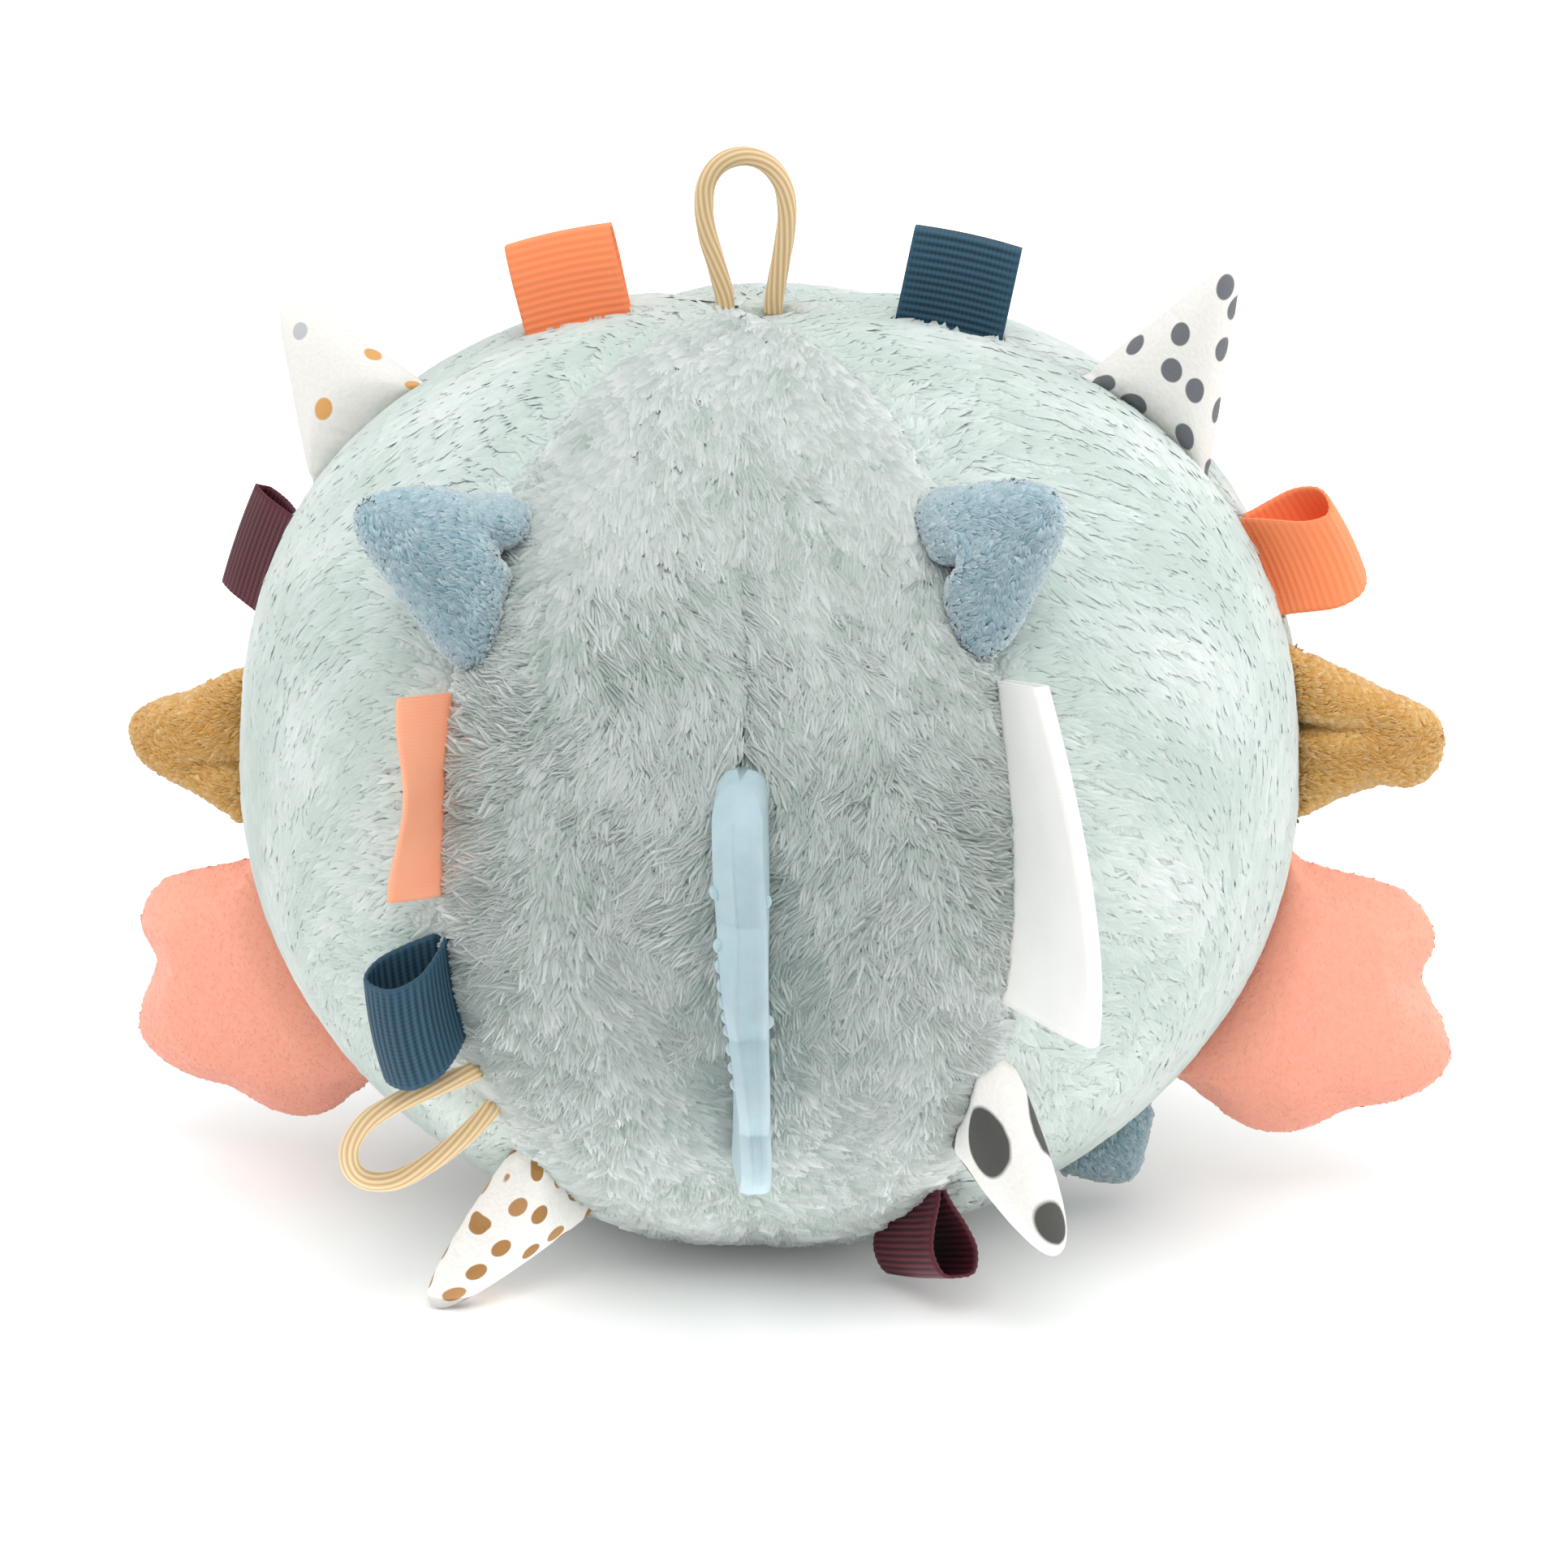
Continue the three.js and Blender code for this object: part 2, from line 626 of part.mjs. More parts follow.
const ribbonKind = (opening, swing) => ({
  length: ribbonWidth,
  swing,
  form: (frame) => strip(frame.place, ribbonPath(ribbonReach, opening), ribbonWidth, ribbonThickness, 3),
});
const stuffedKind = (base, reach, tipRadius, thickness, swing) => ({
  length: base,
  swing,
  form: (frame, { curl = 0 }) => {
    const bend = (y) => curl * Math.pow(Math.max(y, 0) / reach, 2);
    const middle = [0, 0.38 * reach];
    return stuffed(frame.place, spikeOutline(base, reach, tipRadius), middle, thickness, bend);
  },
});
const kinds = {
  flatRibbon: ribbonKind(flatLoopOpening, 50),
  openRibbon: ribbonKind(openLoopOpening, 35),
  spike: stuffedKind(spikeBase, spikeReach, spikeTipRadius, spikeThickness, 25),
  plushSpike: stuffedKind(plushSpikeBase, plushSpikeReach, plushTipRadius, plushSpikeThickness, 27),
  ear: stuffedKind(earBase, earReach, earTipRadius, earThickness, 25),
  foot: stuffedKind(footBase, footReach, plushTipRadius, footThickness, 20),
  fin: {
    length: finBase,
    swing: 28,
    form: (frame) => stuffed(frame.place, finOutline(), finMiddle, finThickness),
  },
  label: { length: labelLength, swing: 50, form: (frame) => label(frame.place) },
  foldedLabel: {
    length: foldedLabelLength,
    swing: 45,
    form: (frame) => {
      const path = ribbonPath(foldedLabelReach, foldedLabelOpening);
      return strip(frame.place, path, foldedLabelLength, ribbonThickness, 7);
    },
  },
  teether: { length: teetherLength, swing: 30, form: (frame) => teether(frame.place) },
  elastic: {
    length: sideLoopFeet + elasticDiameter,
    swing: 18,
    form: (frame) => elasticLoop(frame, sideLoopRoute),
  },
};

// Each seam's pieces from the top down, by the latitude of their middles
const sewn = (name, kind, colour, latitude, pose = {}) => ({ name, kind, colour, latitude, ...pose });
const seams = [
  {
    angle: leftSeam,
    pieces: [
      sewn('ribbon_orange_top', kinds.flatRibbon, colours.orangeRibbon, 69),
      sewn('spike_dotted_left', kinds.spike, colours.whiteCotton, 41.3, { lean: 8, tilt: -24 }),
      sewn('ribbon_maroon_left', kinds.flatRibbon, colours.maroonRibbon, 20, { tilt: -47 }),
      sewn('spike_mustard_left', kinds.plushSpike, colours.mustardPlush, 0, { tilt: -20 }),
      sewn('fin_coral_left', kinds.fin, colours.coralVelour, -27.5, { tilt: -20 }),
    ],
  },
  {
    angle: rightSeam,
    pieces: [
      sewn('ribbon_navy_top', kinds.flatRibbon, colours.navyRibbon, 70.2),
      sewn('spike_dotted_right', kinds.spike, colours.whiteCotton, 46, { lean: 12 }),
      sewn('ribbon_orange_right', kinds.openRibbon, colours.orangeRibbon, 23),
      sewn('spike_mustard_right', kinds.plushSpike, colours.mustardPlush, 4),
      sewn('fin_coral_right', kinds.fin, colours.coralVelour, -24.5),
      sewn('foot_blue_right', kinds.foot, colours.bluePlush, -50),
    ],
  },
  {
    angle: leftBackSeam,
    pieces: [
      sewn('ear_blue_left', kinds.ear, colours.bluePlush, 31, { tilt: -4, curl: -5 }),
      sewn('label_orange', kinds.label, colours.orangeRibbon, 7),
      sewn('ribbon_navy_back', kinds.openRibbon, colours.navyRibbon, -12.5, { lean: -12, tilt: -15 }),
      sewn('elastic_loop_back', kinds.elastic, colours.beigeElastic, -27),
      sewn('spike_dotted_back_left', kinds.spike, colours.whiteCotton, -45, { lean: 11, tilt: -14 }),
    ],
  },
  {
    angle: rightBackSeam,
    pieces: [
      sewn('ear_blue_right', kinds.ear, colours.bluePlush, 34, { lean: -5, tilt: 6, curl: 4 }),
      sewn('label_white', kinds.foldedLabel, colours.whiteLabel, 4, { lean: -4, tilt: 5, twist: 18 }),
      sewn('spike_dotted_back_right', kinds.spike, colours.whiteCotton, -27, { lean: -18, tilt: 12 }),
      sewn('ribbon_maroon_base', kinds.openRibbon, colours.maroonRibbon, -48, { lean: 21 }),
    ],
  },
  {
    angle: backCentreSeam,
    pieces: [sewn('teether_tail', kinds.teether, colours.blueSilicone, -9)],
  },
];

function addSewnPiece(piece, frame) {
  const mesh = addPiece(piece.name, piece.kind.form(frame, piece), piece.colour, 0.85);
  mesh.userData.hinge = { point: frame.hinge.toArray(), axis: frame.along.toArray() };
  mesh.userData.range = [-piece.kind.swing - frame.tilt, piece.kind.swing - frame.tilt];
}

// Pieces keep their latitudes, and give way down the seam where a neighbour above needs the room.
for (const { angle, pieces } of seams) {
  const curve = seamCurve(angle * degrees);
  let limit = Infinity;
  for (const piece of pieces) {
    const { length } = piece.kind;
    const upperEnd = Math.min(arcAtLatitude(curve, piece.latitude) + length / 2, limit);
    limit = upperEnd - length - neighbourGap;
    addSewnPiece(piece, sewnFrame(curve, upperEnd - length / 2, piece));
  }
}

// The top elastic stands on the pole, with its feet along the side seams
const poleHeight = centreHeight + ballHalfHeight - furrowDepth;
const poleFrame = {
  hinge: new THREE.Vector3(topPoleShift, 0, poleHeight + sewnLift),
  along: new THREE.Vector3(1, 0, 0),
  direction: up,
  side: new THREE.Vector3(0, -1, 0),
  tilt: 0,
};
const topElastic = { ...kinds.elastic, form: (frame) => elasticLoop(frame, topLoopRoute) };
addSewnPiece({ name: 'elastic_loop_top', kind: topElastic, colour: colours.beigeElastic }, poleFrame);

export default ball;
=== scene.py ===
# Activity ball: plush gores sewn round fibre fill and a rattle, with soft pieces held in the seams.
# The file follows the making: rattle, fill, cover, pile, then each kind of sewn-in piece, then the studio.
import json

import bpy
import numpy as np
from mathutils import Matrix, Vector


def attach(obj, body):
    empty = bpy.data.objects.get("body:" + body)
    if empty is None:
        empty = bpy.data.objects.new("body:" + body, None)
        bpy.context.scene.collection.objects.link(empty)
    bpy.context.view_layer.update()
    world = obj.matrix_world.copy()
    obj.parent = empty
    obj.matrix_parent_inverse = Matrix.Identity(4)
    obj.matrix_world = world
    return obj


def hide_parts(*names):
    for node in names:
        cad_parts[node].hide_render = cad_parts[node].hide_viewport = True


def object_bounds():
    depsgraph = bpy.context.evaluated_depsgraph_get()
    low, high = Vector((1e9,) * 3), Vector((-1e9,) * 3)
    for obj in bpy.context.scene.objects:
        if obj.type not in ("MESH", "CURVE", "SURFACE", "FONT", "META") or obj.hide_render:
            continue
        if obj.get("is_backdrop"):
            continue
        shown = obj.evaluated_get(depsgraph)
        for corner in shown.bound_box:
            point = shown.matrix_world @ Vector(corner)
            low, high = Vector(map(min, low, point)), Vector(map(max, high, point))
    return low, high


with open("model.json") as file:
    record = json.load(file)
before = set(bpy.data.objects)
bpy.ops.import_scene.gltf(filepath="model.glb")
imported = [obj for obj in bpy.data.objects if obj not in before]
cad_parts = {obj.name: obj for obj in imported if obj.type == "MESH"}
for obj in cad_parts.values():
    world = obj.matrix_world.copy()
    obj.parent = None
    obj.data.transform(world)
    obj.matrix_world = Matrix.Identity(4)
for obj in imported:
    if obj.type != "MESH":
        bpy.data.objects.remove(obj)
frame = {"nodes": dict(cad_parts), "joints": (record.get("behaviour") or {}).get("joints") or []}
cad_low, cad_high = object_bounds()


# Rattle: a cup and a push-in lid of moulded polypropylene, with loose beads inside.
# It lies in the middle of the fill, and the solids already have its shape.


def linear(code):
    """Linear RGBA of an sRGB hex colour."""
    srgb = np.array([int(code[i : i + 2], 16) for i in (1, 3, 5)]) / 255
    rgb = np.where(srgb <= 0.04045, srgb / 12.92, ((srgb + 0.055) / 1.055) ** 2.4)
    return (*rgb.tolist(), 1.0)


def add_node(tree, kind, inputs, **settings):
    """Adds a node, sets its properties, and gives each input a value or a link."""
    node = tree.nodes.new(kind)
    for key, value in settings.items():
        setattr(node, key, value)
    give(tree, node, inputs)
    return node


def give(tree, node, inputs):
    """Sets or links inputs of a node, by name or by number."""
    for key, value in inputs.items():
        if isinstance(value, bpy.types.NodeSocket):
            tree.links.new(value, node.inputs[key])
        else:
            node.inputs[key].default_value = value


def new_material(name, **values):
    """A material with a Principled shader, whose plain values are set on its own sockets."""
    material = bpy.data.materials.new(name)
    material.use_nodes = True
    shader = material.node_tree.nodes["Principled BSDF"]
    give(material.node_tree, shader, {key.replace("_", " "): value for key, value in values.items()})
    return material, material.node_tree, shader


def dress(node, material):
    """Gives a CAD node's object a material."""
    frame["nodes"][node].data.materials.clear()
    frame["nodes"][node].data.materials.append(material)


def mottled(name, patch, detail, dark, light, relief=None, **values):
    """A material whose colour drifts between two tones, in patches of a size in millimetres.
    relief gives the size in millimetres, the detail, and the depth in metres of fine bumps."""
    material, tree, shader = new_material(name, **values)
    spot = add_node(tree, "ShaderNodeTexCoord", {}).outputs["Object"]
    noise = {"Vector": spot, "Scale": 1000 / patch, "Detail": detail}
    drift = add_node(tree, "ShaderNodeTexNoise", noise).outputs[0]
    tint = add_node(tree, "ShaderNodeMix", {0: drift, 6: linear(dark), 7: linear(light)}, data_type="RGBA")
    give(tree, shader, {"Base Color": tint.outputs[2]})
    if relief:
        size, detail, depth = relief
        noise = {"Vector": spot, "Scale": 1000 / size, "Detail": detail}
        grain = add_node(tree, "ShaderNodeTexNoise", noise).outputs[0]
        bumps = add_node(tree, "ShaderNodeBump", {"Height": grain, "Distance": depth})
        give(tree, shader, {"Normal": bumps.outputs[0]})
    return material


# Polypropylene, injection moulded: a soft gloss with a faint flow mottle about 6 mm long
polypropylene = mottled("moulded_polypropylene", 6, 3.0, "#d5dadb", "#e6eaeb", Roughness=0.38, IOR=1.49)
for node in ("rattle_cup", "rattle_lid"):
    dress(node, polypropylene)

# Polystyrene beads, polished: a clear gloss with a slight cloud of pigment
polystyrene = mottled("polished_polystyrene", 2, 2.0, "#cda63c", "#e0bf62", Roughness=0.15, IOR=1.59)
for count in range(1, 5):
    dress(f"rattle_bead_{count}", polystyrene)


# Fibre fill: teased polyester, pushed in as a lower and an upper wad round the rattle.
# Each wad is a lumpy turned form that stops short of the cover and of the rattle's pocket.
MM = 0.001
BALL_RADIUS = 77.5
BALL_HALF_HEIGHT = 69.0
CENTRE_HEIGHT = 66.0
UPPER_SQUARENESS = 2.4
LOWER_SQUARENESS = 2.0
COVER_THICKNESS = 3.0
REST_ANGLE = np.pi - np.arccos(CENTRE_HEIGHT / BALL_HALF_HEIGHT)
POCKET_RADIUS = 18.4
POCKET_HALF_HEIGHT = 11.4
COVER_CLEARANCE = 1.2
SPLIT_CLEARANCE = 0.4
LUMP_SIZE = 16
LUMP_DEPTH = 0.03


def profile(polar, inset=0.0):
    """The ball's profile: a superellipse, as radius and height at an angle from the top."""
    power = 2 / np.where(polar < np.pi / 2, UPPER_SQUARENESS, LOWER_SQUARENESS)
    across = np.abs(np.sin(polar)) ** power
    upwards = np.sign(np.cos(polar)) * np.abs(np.cos(polar)) ** power
    return (BALL_RADIUS - inset) * across, CENTRE_HEIGHT + (BALL_HALF_HEIGHT - inset) * upwards


def waves(points, wavelength, count, seed):
    """Smooth noise from -1 to 1: the mean of sine waves that run in random directions."""
    rng = np.random.default_rng(seed)
    ways = rng.normal(size=(count, 3))
    ways /= np.linalg.norm(ways, axis=1, keepdims=True)
    pace = 2 * np.pi / (wavelength * rng.uniform(0.7, 1.4, count))
    phase = rng.uniform(0, 2 * np.pi, count)
    return np.sin(points @ (ways * pace[:, None]).T + phase).sum(-1) / np.sqrt(2 * count)


def grid_faces(rows, columns, wrap=False):
    """Quads of a grid of points, closed across its columns where it wraps."""
    row = np.arange(rows - 1)[:, None] * columns
    left = np.arange(columns if wrap else columns - 1)[None, :]
    right = (left + 1) % columns
    quads = np.stack([row + left, row + right, row + columns + right, row + columns + left], -1)
    return quads.reshape(-1, 4)


def tube_faces(rows, columns):
    """Faces of a wrapped grid whose first and last rings close to two points that follow the grid's own."""
    count = rows * columns
    here = np.arange(columns)
    after = (here + 1) % columns
    far = count - columns
    ends = [
        np.stack([np.full(columns, count), after, here], -1),
        np.stack([np.full(columns, count + 1), far + here, far + after], -1),
    ]
    return [grid_faces(rows, columns, wrap=True), np.concatenate(ends)]


def volume_of(points, faces):
    """Signed volume inside a closed mesh."""
    total = 0.0
    for group in faces:
        for k in range(1, group.shape[1] - 1):
            a, b, c = (points[group[:, i]] for i in (0, k, k + 1))
            total += np.einsum("ij,ij->", a, np.cross(b, c)) / 6
    return total


def make_piece(name, points, faces, material, uv=None, closed=True):
    """A mesh object from points in millimetres and arrays of faces, turned outwards where it is closed."""
    if closed and volume_of(points, faces) < 0:
        faces = [group[:, ::-1] for group in faces]
    corners = np.concatenate([group.ravel() for group in faces])
    sizes = np.concatenate([np.full(len(group), group.shape[1]) for group in faces])
    starts = np.concatenate([[0], np.cumsum(sizes)[:-1]])
    mesh = bpy.data.meshes.new(name)
    mesh.vertices.add(len(points))
    mesh.vertices.foreach_set("co", (points * MM).astype(np.float32).ravel())
    mesh.loops.add(len(corners))
    mesh.loops.foreach_set("vertex_index", corners.astype(np.int32))
    mesh.polygons.add(len(sizes))
    mesh.polygons.foreach_set("loop_start", starts.astype(np.int32))
    mesh.polygons.foreach_set("use_smooth", np.ones(len(sizes), bool))
    if uv is not None:
        layer = mesh.uv_layers.new(name="OFBake")
        layer.uv.foreach_set("vector", uv[corners].astype(np.float32).ravel())
    mesh.update(calc_edges=True)
    if material:
        mesh.materials.append(material)
    piece = bpy.data.objects.new(name, mesh)
    bpy.context.scene.collection.objects.link(piece)
    return piece


def wad_profile(upper):
    """Radius and height along a wad: over the ball's inside, then in along the split and down the pocket."""
    inset = COVER_THICKNESS + COVER_CLEARANCE
    first, last = (np.radians(5), np.radians(88)) if upper else (REST_ANGLE - 0.1, 1.6)
    radius, height = profile(np.linspace(first, last, 30), inset)
    side = 1 if upper else -1
    split = CENTRE_HEIGHT + side * SPLIT_CLEARANCE
    floor = CENTRE_HEIGHT + side * POCKET_HALF_HEIGHT
    inner = np.array([[0.6 * BALL_RADIUS, split], [POCKET_RADIUS, split], [POCKET_RADIUS, floor], [6, floor]])
    return np.concatenate([np.stack([radius, height], 1), inner])


def sew(piece, node, body=None):
    """Puts a piece in the place of a CAD node, on the body that carries it."""
    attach(piece, body or node)
    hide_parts(node)


# Polyester staple: white, matt and woolly, with clumps of about 5 mm
WOOL_RELIEF = (5, 6.0, 0.0008)
polyester = mottled(
    "teased_polyester_fibre", 5, 6.0, "#e9e7e0", "#faf9f5", WOOL_RELIEF, Roughness=0.95, Sheen_Weight=0.3
)
for node, upper in (("fibre_fill_lower", False), ("fibre_fill_upper", True)):
    outline = wad_profile(upper)
    turn = np.linspace(0, 2 * np.pi, 72, endpoint=False)
    radius, height = outline[:, :1], outline[:, 1:]
    points = np.stack([radius * np.cos(turn), radius * np.sin(turn), height + 0 * turn], -1)
    outer = np.clip((radius - POCKET_RADIUS) / 20, 0, 1)[..., None]
    middle = np.array([0, 0, CENTRE_HEIGHT + (12 if upper else -12)])
    lumps = 1 + waves(points, LUMP_SIZE, 9, 5)[..., None]
    points = middle + (points - middle) * (1 - LUMP_DEPTH * outer * lumps)
    ends = np.array([[0, 0, outline[0, 1]], [0, 0, outline[-1, 1]]])
    flat = np.concatenate([points.reshape(-1, 3), ends])
    wad = make_piece(f"{node}_wad", flat, tube_faces(len(outline), len(turn)), polyester)
    sew(wad, node, "ball")


# Cover: seven gores of knitted plush, sewn edge to edge and turned, so that each seam draws in a furrow.
# A gore here is the knitted ground with its thickness, which stands a little proud of the plain ball.
FURROW_DEPTH = 1.2
FURROW_WIDTH = 9.0
FURROW_FADE = 12.0
TOP_POLE_SHIFT = -3.5
BASE_POLE_SHIFT = -5.0
SEAM_GAP = 0.3
GROUND_DEPTH = -1.2
KNIT_SIZE = 0.9
BACK_SEAM, LEFT_BACK_SEAM, RIGHT_BACK_SEAM, LEFT_SEAM, RIGHT_SEAM = 2.5, -31.0, 31.0, -90.0, 90.0
RIGHT_FRONT_SEAM, LEFT_FRONT_SEAM = 149.0, 211.0
GORES = {
    "gore_back_left": (LEFT_BACK_SEAM, BACK_SEAM),
    "gore_back_right": (BACK_SEAM, RIGHT_BACK_SEAM),
    "gore_right_rear": (RIGHT_BACK_SEAM, RIGHT_SEAM),
    "gore_right_front": (RIGHT_SEAM, RIGHT_FRONT_SEAM),
    "gore_front": (RIGHT_FRONT_SEAM, LEFT_FRONT_SEAM),
    "gore_left_front": (LEFT_FRONT_SEAM, 360 + LEFT_SEAM),
    "gore_left_rear": (360 + LEFT_SEAM, 360 + LEFT_BACK_SEAM),
}
SEAM_ANGLES = np.radians([start for start, _ in GORES.values()])


def unit(vectors):
    """Vectors scaled to length 1."""
    return vectors / np.maximum(np.linalg.norm(vectors, axis=-1, keepdims=True), 1e-9)


def ramp(values, start, end):
    """A smooth step from 0 at start to 1 at end."""
    share = np.clip((values - start) / (end - start), 0, 1)
    return share * share * (3 - 2 * share)


def seam_distance(theta, radius, seams=SEAM_ANGLES):
    """Distance round the ball to the nearest seam."""
    away = np.abs((theta[..., None] - seams + np.pi) % (2 * np.pi) - np.pi)
    return away.min(-1) * radius


def ball_points(theta, radius, height, slope, depth):
    """Points at an angle round the ball, a depth below the profile. slope is the profile's normal.
    The meridians' centre wanders off the axis towards the top and the base."""
    share = (height - CENTRE_HEIGHT) / BALL_HALF_HEIGHT
    centre_x = TOP_POLE_SHIFT * np.maximum(share, 0) ** 2
    centre_y = BASE_POLE_SHIFT * np.maximum(-share, 0) ** 2
    way_x, way_y = np.sin(theta), -np.cos(theta)
    along = centre_x * way_x + centre_y * way_y
    ring = radius - slope[0] * depth
    inside = along**2 + ring**2 - centre_x**2 - centre_y**2
    reach = -along + np.sqrt(np.maximum(inside, 0))
    return np.stack([centre_x + way_x * reach, centre_y + way_y * reach, height - slope[1] * depth], -1)


def profile_slope(polar):
    """The profile's outward normal, as radial and upward parts."""
    radius, height = profile(polar)
    near_radius, near_height = profile(polar - 0.001)
    along, up = near_radius - radius, near_height - height
    size = np.hypot(along, up)
    return up / size, -along / size


def furrow(theta, radius, height):
    """How far a seam draws the cover in: full on the seam, none beyond the furrow's width."""
    fade = np.clip(height / FURROW_FADE, 0, 1)
    near = np.maximum(1 - seam_distance(theta, radius) / FURROW_WIDTH, 0)
    return FURROW_DEPTH * fade * near**2


def skin(theta, polar, depth):
    """Points of the ball's cover at a depth below the profile, with the furrows in it."""
    radius, height = profile(polar)
    settle = np.clip(height / 6, 0.05, 1)
    drawn = furrow(theta, radius, height) + depth * settle
    return ball_points(theta, radius, height, profile_slope(polar), drawn)


def base_disc(theta, shares, depth):
    """Points of the flat base inside the resting edge."""
    edge, _ = profile(np.array(REST_ANGLE))
    radius = edge * shares
    zero = np.zeros_like(radius + theta)
    return ball_points(theta, radius + zero, zero, (zero, zero - 1), zero + depth)


def shell_faces(rows, columns):
    """Faces of two equal grids, an outer and an inner one, joined all round their edges."""
    count = rows * columns
    outer = grid_faces(rows, columns)
    inner = outer[:, ::-1] + count
    index = np.arange(count).reshape(rows, columns)
    rim = np.concatenate([index[0], index[1:, -1], index[-1, -2::-1], index[-2:0:-1, 0]])
    after = np.roll(rim, -1)
    wall = np.stack([rim, rim + count, after + count, after], -1)
    return [np.concatenate([outer, inner, wall])]


# Knitted polyester ground of the plush: loops about 0.9 mm apart, matt, and darker than the pile's tips
ground, tree, shader = new_material("knitted_plush_ground", Roughness=0.95, Sheen_Weight=0.2)
spot = add_node(tree, "ShaderNodeTexCoord", {}).outputs["Object"]
knit = {"Vector": spot, "Scale": 1000 / KNIT_SIZE}
stitch = add_node(tree, "ShaderNodeTexVoronoi", knit).outputs["Distance"]
tones = {0: stitch, 6: linear("#ccd6d2"), 7: linear("#c0cbc6")}
tint = add_node(tree, "ShaderNodeMix", tones, data_type="RGBA")
loops = add_node(tree, "ShaderNodeBump", {"Height": stitch, "Distance": 0.0004})
give(tree, shader, {"Base Color": tint.outputs[2], "Normal": loops.outputs[0]})

GROUND_ROWS = 64
GROUND_COLUMNS = 28
for node, (start, end) in GORES.items():
    polar = np.linspace(REST_ANGLE, np.radians(1.5), GROUND_ROWS)[:, None]
    shares = np.array([0.03, 0.35, 0.7])[:, None]
    share = np.linspace(0, 1, GROUND_COLUMNS)[None, :]
    layers = []
    for depth in (GROUND_DEPTH, COVER_THICKNESS):
        nominal = np.maximum(profile(polar)[0], 1.0)
        trim = np.minimum(SEAM_GAP / 2 / nominal, 0.1)
        theta = np.radians(start) + trim + (np.radians(end - start) - 2 * trim) * share
        upper = skin(theta, polar + 0 * share, depth)
        lower = base_disc(np.radians(start + (end - start) * share), shares, 0.05 if depth < 1 else depth)
        layers.append(np.concatenate([lower, upper]))
    points = np.concatenate([layer.reshape(-1, 3) for layer in layers])
    cover = make_piece(f"{node}_cover", points, shell_faces(GROUND_ROWS + 3, GROUND_COLUMNS), ground)
    sew(cover, node, "ball")


# Pile of the gores: cut polyester about 5 mm long that lies in tufts, flows down the ball and turns
# out towards the back seams. Each tuft is a bundle of leaf-shaped blades that lean in to one tip.
BACK_TUFTS, BACK_BLADES = 4900, 5
SIDE_TUFTS, SIDE_BLADES = 3300, 4
BLADE_ROWS = np.array([0.0, 0.35, 0.75, 1.0])
RIDGE_HEIGHTS = np.array([0.1, 1.0, 0.8, 0.3])
BLADE_WIDTHS = np.array([0.0, 1.0, 0.8, 0.0])
BLADE_KINKS = np.array([0.0, 1.0, -0.5, 0.4])
# Colour along a blade's eight points: darkest at the root and at the edges, lighter on the ridge and lightest
# at the tip, as painted shade between the blades
BLADE_PAINTED_SHADE = np.array([0.0, 0.18, 0.4, 0.18, 0.5, 0.78, 0.5, 1.0])


def even_pairs(count):
    """Evenly scattered pairs from 0 to 1: multiples of two steps whose fractions never line up."""
    number = np.arange(count) + 0.5
    return (number * 0.7548776662466927) % 1, (number * 0.5698402909980532) % 1


def blade_faces(count):
    """Faces of blades of eight points: a root, two rows of left edge, ridge and right edge, and a tip."""
    first = np.arange(count)[:, None] * 8
    quads = np.concatenate([first + [1, 2, 5, 4], first + [2, 3, 6, 5]])
    ends = np.concatenate([first + [0, 2, 1], first + [0, 3, 2], first + [4, 5, 7], first + [5, 6, 7]])
    return [quads, ends]


